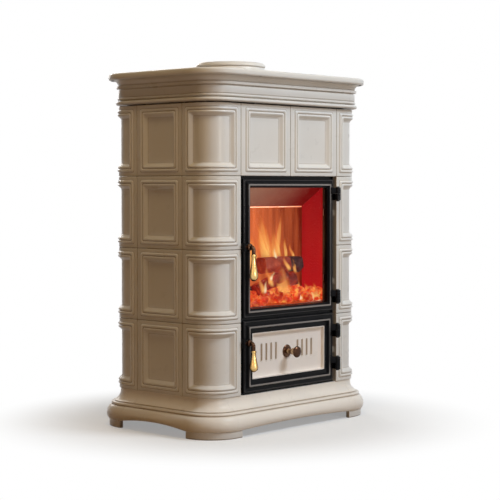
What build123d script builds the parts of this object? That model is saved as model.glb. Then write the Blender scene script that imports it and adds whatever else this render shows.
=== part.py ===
"""Tiled stove: a steel firebox behind cast-iron doors, clad in glazed relief tiles.

Millimetres. The origin is on the floor under the middle of the stove. X runs to the right
along the front, Y to the back and Z up, so the doors face -Y.
"Rise" is how far a surface stands out from the joint planes of the tile cladding.
"""

from build123d import *
import os
from math import cos, radians, sin, sqrt, tan

os.makedirs("parts", exist_ok=True)

# ---------------------------------------------------------------- driving dimensions

# tile cladding
tile_pitch = 220
tile_rows = 4
frame_rows = 3
front_tile_width = 225
side_tile_width = 195
corner_wing = 54
corner_radius = 68
tile_joint = 0.4
tile_depth = 22
tile_rim = 14
tile_pocket = 11
margin_rise = 3
ridge_rise = 6.5
panel_drop = 5
ridge_outer = 12
ridge_inner = 33
ridge_corner = 7
ridge_round = 2.5
panel_taper = 35

# feet and plinth
foot_height = 23
foot_rise = 35
foot_wall = 13
foot_front_wing = 25
foot_side_wing = 8
foot_round = 4
plinth_height = 95
plinth_rise = 43
plinth_toe = 38
plinth_wall = 20
plinth_bearing = 40
plinth_cove_rise = 20
plinth_cove_depth = 38
plinth_cove_hollow = 1.5
plinth_quirk = 2
plinth_band_rise = 28
plinth_band_depth = 49
plinth_band_round = 7
plinth_inside_step = 11
arch_rise_front = 6
arch_rise_side = 11
arch_end_gap = 4

# cornice, top slab and flue
cornice_height = 76
cornice_forward = 5
cornice_bearing = 30
bead_rise = 15
bead_height = 15
bead_root = 3.5
bead_lift = 2.2
frieze_rise = 7
frieze_height = 46
fillet_rise = 11
fillet_height = 50
cove_rise = 34
slab_thickness = 20
slab_rise = 37
slab_round = 7
flue_setback = 85
flue_bore = 75.5
flue_wall = 2
flue_flange = 16
flue_flange_thickness = 3
rosette_foot = 128
rosette_rim = 109
rosette_height = 45
rosette_edge = 4
rosette_flare = 4
rosette_inner = 84
rosette_dish = 7
rosette_lip = 4

# steel carcass
sheet = 4
plate_joint = 0.1
post_overlap = 10
running_gap = 0.3
body_side_gap = 40.7
body_front_gap = 29.5
body_depth = 308
body_headroom = 9
throat_wall = 4
shelf_above_opening = 16
runner_height = 11
runner_width = 10
runner_x = 125
back_sheet = 3

# fireclay lining and firebox
firebox_depth = 134.2
firebox_height = 305
liner_thickness = 25
liner_top_thickness = 13
back_liner_thickness = 30
hearth_thickness = 28
liner_height = 402
baffle_reach = 110
baffle_slope = 35
baffle_thickness = 25
block_rows = 3
block_gap = 0.4
grate_length = 240
grate_width = 90
grate_setback = 65.7
grate_thickness = 14
grate_bars = 9
grate_border = 9
grate_slot = 12

# ash pan
pan_half = 160
pan_front_gap = 3
pan_depth = 213
pan_height = 80
pan_wall = 2
pan_lip = 10

# cast front frame and doors
frame_thickness = 10
frame_margin = 13
frame_lap = 13
door_gap = 0.3
tongue_gap = 3
door_edge_round = 3
moulding_width = 13
moulding_rise = 7
moulding_round = 5
door_top_margin = 8
door_bottom_margin = 5
door_spacing = 7
lower_door_height = 220
upper_window_inset_x = 29
upper_window_inset_z = 27.5
upper_moulding_gap = 9
lower_window_inset_x = 41
lower_window_inset_z = 40
lower_moulding_gap = 18.5
window_corner = 4
seal_width = 6
seal_depth = 4
glass_thickness = 4
glass_lap = 6
glass_seat = 0.3
clip_length = 22
clip_thickness = 2.5
clip_reach = 5
clip_height = 105

# hinges
hinge_rise = 20
knuckle_radius = 9
knuckle_gap = 0.4
pin_radius = 3.5
pin_clearance = 0.05
pin_head = 6
pin_head_height = 4
pin_head_round = 3
hinge_length = 40
upper_hinge_insets = (45, 47)
lower_hinge_insets = (58, 57)
hinge_arm_gap = 1.5
hinge_arm_width = 7.5
hinge_strap = 22

# handles and keepers
hub_inset = 15
upper_hub_height = 215
lower_hub_height = 153
boss_radius = 12
boss_rise = 8
hub_radius = 11
hub_length = 10
spindle_radius = 5
spindle_clearance = 0.05
arm_radius = 6
arm_bend = 10
handle_rise = 28
arm_drop = 22
upper_grip_length = 80
lower_grip_length = 64
grip_radius = 12.5
grip_waist = 6
latch_length = 21.5
latch_height = 8
latch_thickness = 4
keeper_height = 28
keeper_rise = 16
keeper_door_gap = 2.5
keeper_post = 4.2

# air panel, shutter and knob
panel_sheet = 3.5
dish_wall = 3
dish_lip = 1.5
panel_lap = 7
slot_width = 7
slot_height = 54
slot_pitch = 22.3
slot_first = 51
slots_per_side = 4
slot_middle_height = 117
shutter_travel = 11
shutter_sheet = 3
shutter_half = 135
shutter_height = 74
shutter_gap = 0.4
guide_height = 14
guide_lip = 5
guide_lip_sheet = 0.8
knob_height = 112
knob_stem_radius = 5
knob_flange_radius = 20
knob_flange = 4
knob_flange_bevel = 3
knob_neck_radius = 7
knob_body_radius = 11.5
knob_cap_radius = 18
knob_cap = 11
knob_cap_lip = 2
stem_play = 2
knob_rise = 38

# ---------------------------------------------------------------- derived places

half_x = front_tile_width + corner_wing + corner_radius
half_y = side_tile_width / 2 + corner_wing + corner_radius
axis_x = half_x - corner_radius
axis_y = half_y - corner_radius
body_bottom = foot_height + plinth_height
body_top = body_bottom + tile_rows * tile_pitch
frame_top = body_bottom + frame_rows * tile_pitch
slab_bottom = body_top + cornice_height
slab_top = slab_bottom + slab_thickness
back_plane_gap = tile_depth + running_gap
body_half = half_x - tile_depth - body_side_gap
body_front_y = body_front_gap - half_y
body_back_y = body_front_y + body_depth
body_middle_y = (body_front_y + body_back_y) / 2
flue_y = body_back_y - flue_setback

door_half = front_tile_width - frame_margin
opening_half = door_half - frame_lap
lower_door_low = body_bottom + door_bottom_margin
lower_door_high = lower_door_low + lower_door_height
upper_door_low = lower_door_high + door_spacing
upper_door_high = frame_top - door_top_margin
lower_opening_low = lower_door_low + frame_lap
lower_opening_high = lower_door_high - frame_lap
upper_opening_low = upper_door_low + frame_lap
upper_opening_high = upper_door_high - frame_lap
hinge_x = door_half
hub_x = hub_inset - door_half
lower_hub_z = lower_door_low + lower_hub_height
upper_hub_z = upper_door_low + upper_hub_height
lower_hinges = (lower_door_low + lower_hinge_insets[0], lower_door_high - lower_hinge_insets[1])
upper_hinges = (upper_door_low + upper_hinge_insets[0], upper_door_high - upper_hinge_insets[1])

front_view = Plane(origin=(0, -half_y, 0), x_dir=(1, 0, 0), z_dir=(0, -1, 0))
corners = {
    "front_left": (-1, -1),
    "front_right": (1, -1),
    "back_left": (-1, 1),
    "back_right": (1, 1),
}


def save(builder, name):
    """Label a finished piece and write it."""
    builder.part.label = name
    export_step(builder.part, f"parts/{name}.step")


# ---------------------------------------------------------------- shared outlines


def corner_band(corner, low, high, front_wing, side_wing):
    """Plan of a strip round one corner, between two rises, with a straight wing at each end."""
    sx, sy = corner
    cx, cy = sx * axis_x, sy * axis_y
    near, far = corner_radius + low, corner_radius + high
    slant = sqrt(0.5)
    with BuildLine() as outline:
        Polyline(
            (cx - sx * front_wing, cy + sy * near),
            (cx - sx * front_wing, cy + sy * far),
            (cx, cy + sy * far),
        )
        ThreePointArc(
            (cx, cy + sy * far),
            (cx + sx * far * slant, cy + sy * far * slant),
            (cx + sx * far, cy),
        )
        Polyline(
            (cx + sx * far, cy),
            (cx + sx * far, cy - sy * side_wing),
            (cx + sx * near, cy - sy * side_wing),
            (cx + sx * near, cy),
        )
        ThreePointArc(
            (cx + sx * near, cy),
            (cx + sx * near * slant, cy + sy * near * slant),
            (cx, cy + sy * near),
        )
        Line((cx, cy + sy * near), (cx - sx * front_wing, cy + sy * near))
    make_face(outline.edges())


def profile_face(start, steps, shift=0):
    """Closed outline: a step of one point is a straight edge, of two an arc through the first."""

    def at(point):
        return (point[0] + shift, point[1])

    with BuildLine() as outline:
        here = start
        for step in steps:
            if len(step) == 1:
                Line(at(here), at(step[0]))
            else:
                ThreePointArc(at(here), at(step[0]), at(step[1]))
            here = step[-1]
        Line(at(here), at(start))
    make_face(outline.edges())


def straight_moulding(outward, start, steps, height, forward=0):
    """One straight length of moulding between two corner axes, with its wall's outward side."""
    ox, oy = outward
    along, stand = (axis_x, half_y) if oy else (axis_y, half_x)
    along -= tile_joint / 2
    first_end = (ox * stand + oy * along, oy * stand - ox * along - forward, height)
    with BuildSketch(Plane(origin=first_end, x_dir=(ox, oy, 0), z_dir=(oy, -ox, 0))) as outline:
        profile_face(start, steps)
    extrude(outline.sketch, amount=-2 * along)


def corner_moulding(corner, start, steps, height, forward=0):
    """A quarter turn of moulding round one corner axis."""
    sx, sy = corner
    centre = (sx * axis_x, sy * axis_y - forward, height)
    first = (sx, 0, 0) if sx == sy else (0, sy, 0)
    normal = (first[1], -first[0], 0)
    with BuildSketch(Plane(origin=centre, x_dir=first, z_dir=normal)) as outline:
        profile_face(start, steps, corner_radius)
    revolve(outline.sketch, axis=Axis(centre, (0, 0, 1)), revolution_arc=90)


# ---------------------------------------------------------------- glazed tiles


def corner_tile(corner, row):
    """One rounded corner tile: a shell with a raised ridge round a sunken panel."""
    low = body_bottom + row * tile_pitch + tile_joint / 2
    wing = corner_wing - tile_joint / 2
    height = tile_pitch - tile_joint
    with BuildSketch(Plane.XY.offset(low)) as outline:
        corner_band(corner, -tile_depth, margin_rise, wing, wing)
    extrude(outline.sketch, amount=height)
    with BuildSketch(Plane.XY.offset(low + ridge_outer)) as outline:
        corner_band(corner, 0, ridge_rise, corner_wing - ridge_outer, corner_wing - ridge_outer)
    extrude(outline.sketch, amount=height - 2 * ridge_outer)
    with BuildSketch(Plane.XY.offset(low + ridge_inner)) as outline:
        inner_wing = corner_wing - ridge_inner
        corner_band(corner, -panel_drop, 2 * ridge_rise, inner_wing, inner_wing)
    extrude(outline.sketch, amount=height - 2 * ridge_inner, mode=Mode.SUBTRACT)
    with BuildSketch(Plane.XY.offset(low + tile_rim)) as outline:
        pocket_wing = corner_wing - tile_rim
        corner_band(corner, -2 * tile_depth, tile_pocket - tile_depth, pocket_wing, pocket_wing)
    extrude(outline.sketch, amount=height - 2 * tile_rim, mode=Mode.SUBTRACT)


def flat_tile(plane, width):
    """One flat tile. The plane lies on the joint plane with its origin at the tile's foot."""
    middle = Location((0, tile_pitch / 2))
    with BuildSketch(plane.offset(-tile_depth)) as outline:
        with Locations(middle):
            Rectangle(width - tile_joint, tile_pitch - tile_joint)
    extrude(outline.sketch, amount=tile_depth + margin_rise)
    with BuildSketch(plane) as outline:
        with Locations(middle):
            RectangleRounded(width - 2 * ridge_outer, tile_pitch - 2 * ridge_outer, ridge_corner)
    extrude(outline.sketch, amount=ridge_rise)
    with BuildSketch(plane.offset(ridge_rise)) as outline:
        with Locations(middle):
            RectangleRounded(width - 2 * ridge_inner, tile_pitch - 2 * ridge_inner, ridge_corner)
    sunk = ridge_rise + panel_drop
    extrude(outline.sketch, amount=-sunk, taper=panel_taper, mode=Mode.SUBTRACT)
    outward = Axis(plane.origin, plane.z_dir)
    this_row = faces().filter_by_position(Axis.Z, plane.origin.Z, plane.origin.Z + tile_pitch)
    fillet(this_row.sort_by(outward)[-1].edges(), ridge_round)
    with BuildSketch(plane.offset(-tile_depth)) as outline:
        with Locations(middle):
            Rectangle(width - 2 * tile_rim, tile_pitch - 2 * tile_rim)
    extrude(outline.sketch, amount=tile_pocket, mode=Mode.SUBTRACT)


for corner_name, corner in corners.items():
    with BuildPart() as corner_tiles:
        for row in range(tile_rows):
            corner_tile(corner, row)
    save(corner_tiles, f"corner_tiles_{corner_name}")

for side_name, side in (("left", -1), ("right", 1)):
    with BuildPart() as side_tiles:
        for row in range(tile_rows):
            foot = (side * half_x, 0, body_bottom + row * tile_pitch)
            flat_tile(Plane(origin=foot, x_dir=(0, side, 0), z_dir=(side, 0, 0)), side_tile_width)
    save(side_tiles, f"side_tiles_{side_name}")

for side_name, side in (("left", -1), ("right", 1)):
    with BuildPart() as lintel_tile:
        lintel_origin = (side * front_tile_width / 2, -half_y, frame_top)
        lintel_wall = Plane(origin=lintel_origin, x_dir=(1, 0, 0), z_dir=(0, -1, 0))
        flat_tile(lintel_wall, front_tile_width)
    save(lintel_tile, f"lintel_tile_{side_name}")

# ---------------------------------------------------------------- feet and plinth

plinth_start = (-plinth_bearing, 0)
plinth_steps = (
    ((0, 0),),
    (
        (plinth_cove_hollow, -plinth_cove_depth / 2),
        (plinth_cove_rise, -plinth_cove_depth),
    ),
    ((plinth_cove_rise + plinth_quirk, -plinth_cove_depth),),
    (
        (plinth_band_rise - plinth_cove_hollow, plinth_band_round - plinth_band_depth),
        (plinth_band_rise, -plinth_band_depth),
    ),
    ((plinth_band_rise - plinth_quirk / 2, -plinth_band_depth - plinth_quirk),),
    (
        (plinth_rise, (-plinth_band_depth - plinth_height) / 2 - plinth_quirk),
        (plinth_toe, -plinth_height),
    ),
    ((plinth_toe - plinth_wall, -plinth_height),),
    ((plinth_toe - plinth_wall, -plinth_band_depth - plinth_inside_step),),
    ((-plinth_bearing, -plinth_bearing / 2),),
)

walls = {"front": (0, -1), "left": (-1, 0), "right": (1, 0), "back": (0, 1)}

for wall_name, outward in walls.items():
    with BuildPart() as plinth:
        straight_moulding(outward, plinth_start, plinth_steps, body_bottom)
        # the lower edge rises in a shallow arch between the feet
        ox, oy = outward
        if oy:
            arch_half = axis_x - foot_front_wing - arch_end_gap
            arch_rise = arch_rise_front
        else:
            arch_half = axis_y - foot_side_wing - arch_end_gap
            arch_rise = arch_rise_side
        arch_origin = (ox * axis_x, oy * axis_y, foot_height)
        with BuildSketch(Plane(origin=arch_origin, x_dir=(-oy, ox, 0), z_dir=(ox, oy, 0))):
            profile_face((-arch_half, 0), (((0, arch_rise), (arch_half, 0)),))
        extrude(amount=corner_radius + 2 * plinth_rise, mode=Mode.SUBTRACT)
    save(plinth, f"plinth_{wall_name}")

with BuildPart() as plinth_corners:
    for corner in corners.values():
        corner_moulding(corner, plinth_start, plinth_steps, body_bottom)
save(plinth_corners, "plinth_corners")

with BuildPart() as corner_feet:
    for corner in corners.values():
        with BuildSketch():
            corner_band(corner, foot_rise - foot_wall, foot_rise, foot_front_wing, foot_side_wing)
    extrude(amount=foot_height)
    chamfer(corner_feet.faces().sort_by(Axis.Z)[0:4].edges(), foot_round)
save(corner_feet, "corner_feet")

# ---------------------------------------------------------------- cornice and top

cornice_start = (-cornice_bearing, 0)
cornice_steps = (
    ((bead_root, 0),),
    ((bead_root, bead_lift),),
    ((bead_rise, bead_height * 0.6), (frieze_rise - 0.5, bead_height)),
    ((frieze_rise, frieze_height),),
    ((fillet_rise, frieze_height),),
    ((fillet_rise, fillet_height),),
    (
        (
            cove_rise - (cove_rise - fillet_rise) * cos(radians(45)),
            fillet_height + (cornice_height - fillet_height) * sin(radians(45)),
        ),
        (cove_rise, cornice_height),
    ),
    ((-cornice_bearing, cornice_height),),
)

for wall_name, outward in walls.items():
    with BuildPart() as cornice:
        straight_moulding(outward, cornice_start, cornice_steps, body_top, cornice_forward)
    save(cornice, f"cornice_{wall_name}")

with BuildPart() as cornice_corners:
    for corner in corners.values():
        corner_moulding(corner, cornice_start, cornice_steps, body_top, cornice_forward)
save(cornice_corners, "cornice_corners")

spigot_outer = flue_bore + flue_wall

with BuildPart() as top_slab:
    with BuildSketch(Plane.XY.offset(slab_bottom)):
        with Locations((0, -cornice_forward)):
            RectangleRounded(
                2 * (half_x + slab_rise), 2 * (half_y + slab_rise), corner_radius + slab_rise
            )
        with Locations((0, flue_y)):
            Circle(spigot_outer + 2 * running_gap, mode=Mode.SUBTRACT)
    extrude(amount=slab_thickness)
    outer_top = top_slab.faces().sort_by(Axis.Z)[-1].outer_wire().edges()
    outer_bottom = top_slab.faces().sort_by(Axis.Z)[0].outer_wire().edges()
    fillet(outer_top + outer_bottom, slab_round)
save(top_slab, "top_slab")

with BuildPart() as flue_rosette:
    with BuildSketch(Plane(origin=(0, flue_y, slab_top), x_dir=(1, 0, 0), z_dir=(0, -1, 0))):
        profile_face(
            (spigot_outer + running_gap, 0),
            (
                ((rosette_foot, 0),),
                ((rosette_foot, rosette_edge),),
                (
                    (rosette_rim + rosette_flare, rosette_height * 0.3),
                    (rosette_rim, rosette_height * 0.62),
                ),
                ((rosette_rim, rosette_height - rosette_lip),),
                ((rosette_rim - rosette_lip, rosette_height),),
                ((rosette_inner, rosette_height),),
                ((spigot_outer + running_gap, rosette_height - rosette_dish),),
            ),
        )
    revolve(axis=Axis((0, flue_y, 0), (0, 0, 1)))
save(flue_rosette, "flue_rosette")

# ---------------------------------------------------------------- steel carcass

carcass_floor = body_bottom + sheet

with BuildPart() as base_plate:
    with BuildSketch(Plane.XY.offset(body_bottom)):
        RectangleRounded(
            2 * (half_x - back_plane_gap),
            2 * (half_y - back_plane_gap),
            corner_radius - back_plane_gap,
        )
    extrude(amount=sheet)
save(base_plate, "base_plate")

with BuildPart() as corner_posts:
    for corner in corners.values():
        with BuildSketch(Plane.XY.offset(carcass_floor)):
            wing = corner_wing + post_overlap
            corner_band(corner, -back_plane_gap - sheet, -back_plane_gap, wing, wing)
    extrude(amount=body_top - carcass_floor)
save(corner_posts, "corner_posts")

with BuildPart() as back_panel:
    back_view = Plane(origin=(0, half_y - tile_depth, 0), x_dir=(-1, 0, 0), z_dir=(0, 1, 0))
    with BuildSketch(back_view):
        with Locations((0, (body_bottom + body_top) / 2)):
            Rectangle(2 * front_tile_width - tile_joint, body_top - body_bottom)
    extrude(amount=back_sheet)
save(back_panel, "back_panel")

body_roof_z = body_top - body_headroom - sheet
wall_low = carcass_floor + sheet
frame_back_y = tile_depth - half_y
lining_front_y = body_front_y + sheet + running_gap
lining_half = body_half - sheet - running_gap
firebox_half = lining_half - liner_thickness
firebox_back_y = lining_front_y + firebox_depth
back_liner_y = firebox_back_y + back_liner_thickness
grate_y = lining_front_y + grate_setback
shelf_z = lower_opening_high + shelf_above_opening
hearth_bottom = shelf_z + sheet
hearth_top = hearth_bottom + hearth_thickness
baffle_low_z = hearth_top + firebox_height
pan_front_y = body_front_y + sheet + pan_front_gap
pan_middle_y = pan_front_y + pan_depth / 2
throat_openings = (
    (lower_opening_low, lower_opening_high),
    (hearth_top, upper_opening_high),
)
shelf_cut_half = grate_length / 2 - grate_border
shelf_cut_width = grate_width - 2 * grate_border

with BuildPart() as body_floor:
    with BuildSketch(Plane.XY.offset(carcass_floor)):
        with Locations((0, body_middle_y)):
            Rectangle(2 * body_half, body_depth)
    extrude(amount=sheet)
save(body_floor, "body_floor")

with BuildPart() as body_side_walls:
    with BuildSketch(Plane.XY.offset(wall_low)):
        for side in (-1, 1):
            with Locations((side * (body_half - sheet / 2), body_middle_y)):
                Rectangle(sheet, body_depth)
    extrude(amount=body_roof_z - wall_low)
save(body_side_walls, "body_side_walls")

with BuildPart() as body_rear_wall:
    with BuildSketch(Plane.XY.offset(wall_low)):
        with Locations((0, body_back_y - sheet / 2)):
            Rectangle(2 * (body_half - sheet), sheet)
    extrude(amount=body_roof_z - wall_low)
save(body_rear_wall, "body_rear_wall")

with BuildPart() as body_front_wall:
    with BuildSketch(front_view.offset(-body_front_gap)):
        with Locations((0, (wall_low + body_roof_z) / 2)):
            Rectangle(2 * (body_half - sheet), body_roof_z - wall_low)
        for low, high in throat_openings:
            with Locations((0, (low + high) / 2)):
                Rectangle(2 * opening_half, high - low, mode=Mode.SUBTRACT)
    extrude(amount=-sheet)
save(body_front_wall, "body_front_wall")

# the shelf parts the ash pit from the firebox and lets the ash fall through below the grate
with BuildPart() as body_shelf:
    with BuildSketch(Plane.XY.offset(shelf_z)):
        with Locations((0, body_middle_y)):
            Rectangle(2 * (body_half - sheet), body_depth - 2 * sheet)
        with Locations((0, grate_y)):
            Rectangle(2 * shelf_cut_half, shelf_cut_width, mode=Mode.SUBTRACT)
    extrude(amount=sheet)
save(body_shelf, "body_shelf")

with BuildPart() as body_roof:
    with BuildSketch(Plane.XY.offset(body_roof_z)):
        with Locations((0, body_middle_y)):
            Rectangle(2 * body_half, body_depth)
        with Locations((0, flue_y)):
            Circle(flue_bore, mode=Mode.SUBTRACT)
    extrude(amount=sheet)
save(body_roof, "body_roof")

# strips welded round both openings reach forward to the back of the cast frame
with BuildPart() as door_throats:
    for low, high in throat_openings:
        strip_x = opening_half + throat_wall / 2
        strip_z = (low + high) / 2
        with BuildSketch(front_view.offset(-body_front_gap)):
            with Locations((0, low - throat_wall / 2), (0, high + throat_wall / 2)):
                Rectangle(2 * (opening_half + throat_wall), throat_wall)
            with Locations((-strip_x, strip_z), (strip_x, strip_z)):
                Rectangle(throat_wall, high - low - 2 * plate_joint)
        extrude(amount=body_front_gap - tile_depth)
save(door_throats, "door_throats")

with BuildPart() as pan_runners:
    with BuildSketch(Plane.XY.offset(wall_low)):
        with Locations((-runner_x, pan_middle_y), (runner_x, pan_middle_y)):
            Rectangle(runner_width, pan_depth)
    extrude(amount=runner_height)
save(pan_runners, "pan_runners")

with BuildPart() as flue_spigot:
    with BuildSketch(Plane(origin=(0, flue_y, 0), x_dir=(1, 0, 0), z_dir=(0, -1, 0))):
        spigot_foot = body_roof_z + sheet
        spigot_top = slab_top + rosette_height - rosette_dish
        profile_face(
            (flue_bore, spigot_foot),
            (
                ((spigot_outer + flue_flange, spigot_foot),),
                ((spigot_outer + flue_flange, spigot_foot + flue_flange_thickness),),
                ((spigot_outer, spigot_foot + flue_flange_thickness),),
                ((spigot_outer, spigot_top),),
                ((flue_bore, spigot_top),),
            ),
        )
    revolve(axis=Axis((0, flue_y, 0), (0, 0, 1)))
save(flue_spigot, "flue_spigot")

# ---------------------------------------------------------------- fireclay lining

with BuildPart() as hearth_slab:
    with BuildSketch(Plane.XY.offset(hearth_bottom)):
        with Locations((0, (lining_front_y + back_liner_y) / 2)):
            Rectangle(2 * lining_half, back_liner_y - lining_front_y)
        with Locations((0, grate_y)):
            Rectangle(
                grate_length + 2 * running_gap,
                grate_width + 2 * running_gap,
                mode=Mode.SUBTRACT,
            )
    extrude(amount=hearth_thickness)
save(hearth_slab, "hearth_slab")

with BuildPart() as fire_grate:
    with BuildSketch(Plane.XY.offset(hearth_bottom)):
        with Locations((0, grate_y)):
            Rectangle(grate_length, grate_width)
            slot_step = (grate_length - 2 * grate_border) / grate_bars
            with GridLocations(slot_step, 1, grate_bars, 1):
                SlotOverall(
                    grate_width - 2 * grate_border, grate_slot, rotation=90, mode=Mode.SUBTRACT
                )
    extrude(amount=grate_thickness)
save(fire_grate, "fire_grate")

baffle_rise = baffle_reach * tan(radians(baffle_slope))
baffle_drop = baffle_thickness / cos(radians(baffle_slope))
baffle_front_y = firebox_back_y - baffle_reach
baffle_lip_y = baffle_thickness * sin(radians(baffle_slope))
liner_top_z = hearth_top + liner_height
ledge_cut_top = max(liner_top_z, baffle_low_z + baffle_rise) + baffle_drop


def slope_z(y):
    """Height of the baffle's underside."""
    return baffle_low_z + (firebox_back_y - y) * tan(radians(baffle_slope))


# each side wall is thicker below the baffle, and that step is the ledge the baffle lies on
for side_name, side in (("left", -1), ("right", 1)):
    with BuildPart() as side_liner:
        side_view = Plane(
            origin=(side * lining_half, 0, 0), x_dir=(0, side, 0), z_dir=(side, 0, 0)
        )
        with BuildSketch(side_view):
            with Locations(
                (side * (lining_front_y + back_liner_y) / 2, hearth_top + liner_height / 2)
            ):
                Rectangle(back_liner_y - lining_front_y, liner_height)
        extrude(amount=-(lining_half - firebox_half))
        ledge_view = Plane(
            origin=(side * firebox_half, 0, 0), x_dir=(0, side, 0), z_dir=(side, 0, 0)
        )
        with BuildSketch(ledge_view):
            profile_face(
                (side * (back_liner_y + 1), baffle_low_z),
                (
                    ((side * firebox_back_y, baffle_low_z),),
                    ((side * baffle_front_y, slope_z(baffle_front_y)),),
                    ((side * baffle_front_y, ledge_cut_top),),
                    ((side * (back_liner_y + 1), ledge_cut_top),),
                ),
            )
        extrude(amount=liner_thickness - liner_top_thickness, mode=Mode.SUBTRACT)
    save(side_liner, f"liner_{side_name}")

with BuildPart() as liner_back:
    with BuildSketch(Plane.XY.offset(hearth_top)):
        with Locations((0, (firebox_back_y + back_liner_y) / 2)):
            Rectangle(2 * (firebox_half - running_gap), back_liner_thickness)
    extrude(amount=baffle_low_z - hearth_top)
save(liner_back, "liner_back")

with BuildPart() as baffle_plate:
    baffle_half = firebox_half + liner_thickness - liner_top_thickness - running_gap
    with BuildSketch(Plane(origin=(-baffle_half, 0, 0), x_dir=(0, 1, 0), z_dir=(1, 0, 0))):
        profile_face(
            (firebox_back_y, baffle_low_z),
            (
                ((back_liner_y, baffle_low_z),),
                ((back_liner_y, slope_z(back_liner_y) + baffle_drop),),
                (
                    (
                        baffle_front_y + baffle_lip_y,
                        slope_z(baffle_front_y + baffle_lip_y) + baffle_drop,
                    ),
                ),
                ((baffle_front_y + running_gap, slope_z(baffle_front_y + running_gap)),),
            ),
        )
    extrude(amount=2 * baffle_half)
save(baffle_plate, "baffle_plate")

with BuildPart() as storage_blocks:
    block_pitch = (baffle_low_z - hearth_bottom) / block_rows
    block_back_y = body_back_y - sheet - running_gap
    for level in range(block_rows):
        with BuildSketch(Plane.XY.offset(hearth_bottom + level * block_pitch)):
            with Locations((0, (back_liner_y + running_gap + block_back_y) / 2)):
                Rectangle(2 * lining_half, block_back_y - back_liner_y - running_gap)
        extrude(amount=block_pitch - block_gap)
save(storage_blocks, "storage_blocks")

with BuildPart() as ash_pan:
    pan_bottom = wall_low + runner_height
    with BuildSketch(Plane.XY.offset(pan_bottom)):
        with Locations((0, pan_middle_y)):
            Rectangle(2 * pan_half, pan_depth)
    extrude(amount=pan_height)
    with BuildSketch(Plane.XY.offset(pan_bottom + pan_wall)):
        with Locations((0, pan_middle_y)):
            Rectangle(2 * (pan_half - pan_wall), pan_depth - 2 * pan_wall)
    extrude(amount=pan_height, mode=Mode.SUBTRACT)
    # a strip riveted inside the front edge is the finger grip
    with BuildSketch(Plane.XY.offset(pan_bottom + pan_height - pan_wall)):
        with Locations((0, pan_front_y + pan_wall + plate_joint + pan_lip / 2)):
            Rectangle(pan_half, pan_lip)
    extrude(amount=pan_wall)
save(ash_pan, "ash_pan")

# ---------------------------------------------------------------- cast front frame

hinge_y = -half_y - hinge_rise
frame_rise = frame_thickness - tile_depth
knuckle_height = (hinge_length - knuckle_gap) / 2
all_hinges = lower_hinges + upper_hinges
keeper_x0 = -front_tile_width + tile_joint
keeper_x1 = -door_half - keeper_door_gap
hub_heights = (lower_hub_z, upper_hub_z)
frame_openings = (
    (lower_opening_low, lower_opening_high),
    (upper_opening_low, upper_opening_high),
)

with BuildPart() as front_frame:
    with BuildSketch(front_view.offset(-tile_depth)):
        with Locations((0, (body_bottom + frame_top) / 2)):
            Rectangle(2 * front_tile_width - tile_joint, frame_top - body_bottom)
        for low, high in frame_openings:
            with Locations((0, (low + high) / 2)):
                Rectangle(2 * opening_half, high - low, mode=Mode.SUBTRACT)
    extrude(amount=frame_thickness)
    # the lower knuckle of each hinge stands on an arm from the frame's right margin
    for hinge_z in all_hinges:
        with BuildSketch(Plane.XY.offset(hinge_z - hinge_length / 2)):
            with Locations((hinge_x, hinge_y)):
                Circle(knuckle_radius)
            arm_length = hinge_rise - frame_rise
            with Locations(
                (hinge_x + hinge_arm_gap + hinge_arm_width / 2, hinge_y + arm_length / 2)
            ):
                Rectangle(hinge_arm_width, arm_length)
            with Locations((hinge_x, hinge_y)):
                Circle(pin_radius + pin_clearance, mode=Mode.SUBTRACT)
        extrude(amount=knuckle_height)
save(front_frame, "front_frame")

with BuildPart() as latch_keepers:
    for hub_z in hub_heights:
        ledge_top = hub_z - latch_height / 2 - running_gap
        keeper_low = hub_z - keeper_height / 2
        keeper_inner = keeper_x0 + keeper_post + plate_joint
        # a post beside the door's edge, and the ledge that the latch tongue rests on
        with BuildSketch(front_view.offset(frame_rise)):
            with Locations((keeper_x0 + keeper_post / 2, hub_z)):
                Rectangle(keeper_post, keeper_height)
        extrude(amount=keeper_rise - frame_rise)
        with BuildSketch(front_view.offset(frame_rise)):
            with Locations(((keeper_inner + keeper_x1) / 2, (keeper_low + ledge_top) / 2)):
                Rectangle(keeper_x1 - keeper_inner, ledge_top - keeper_low)
        extrude(amount=keeper_rise - frame_rise)
save(latch_keepers, "latch_keepers")

with BuildPart() as hinge_pins:
    for hinge_z in all_hinges:
        pin_low = hinge_z - hinge_length / 2
        pin_high = hinge_z + hinge_length / 2
        with BuildSketch(Plane.XY.offset(pin_low - running_gap)):
            with Locations((hinge_x, hinge_y)):
                Circle(pin_radius)
        extrude(amount=hinge_length + 2 * running_gap)
        for head_z in (pin_low - pin_head_height, pin_high + running_gap):
            with BuildSketch(Plane.XY.offset(head_z)):
                with Locations((hinge_x, hinge_y)):
                    Circle(pin_head)
            extrude(amount=pin_head_height - running_gap)
        pin_ends = hinge_pins.faces().filter_by_position(
            Axis.Z, pin_low - pin_head_height - 1, pin_high + pin_head_height + 1
        )
        fillet(pin_ends.sort_by(Axis.Z)[0].edges(), pin_head_round)
        pin_ends = hinge_pins.faces().filter_by_position(
            Axis.Z, pin_low - pin_head_height - 1, pin_high + pin_head_height + 1
        )
        fillet(pin_ends.sort_by(Axis.Z)[-1].edges(), pin_head_round)
save(hinge_pins, "hinge_pins")

# ---------------------------------------------------------------- doors

door_back = tile_depth - frame_thickness - door_gap
tongue_half = opening_half - tongue_gap


def frame_sketch(half_width, low, high, corner=0.0, mode=Mode.ADD):
    """A rectangle seen from the front, between two heights."""
    with Locations((0, (low + high) / 2)):
        if corner:
            RectangleRounded(2 * half_width, high - low, corner, mode=mode)
        else:
            Rectangle(2 * half_width, high - low, mode=mode)


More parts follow.
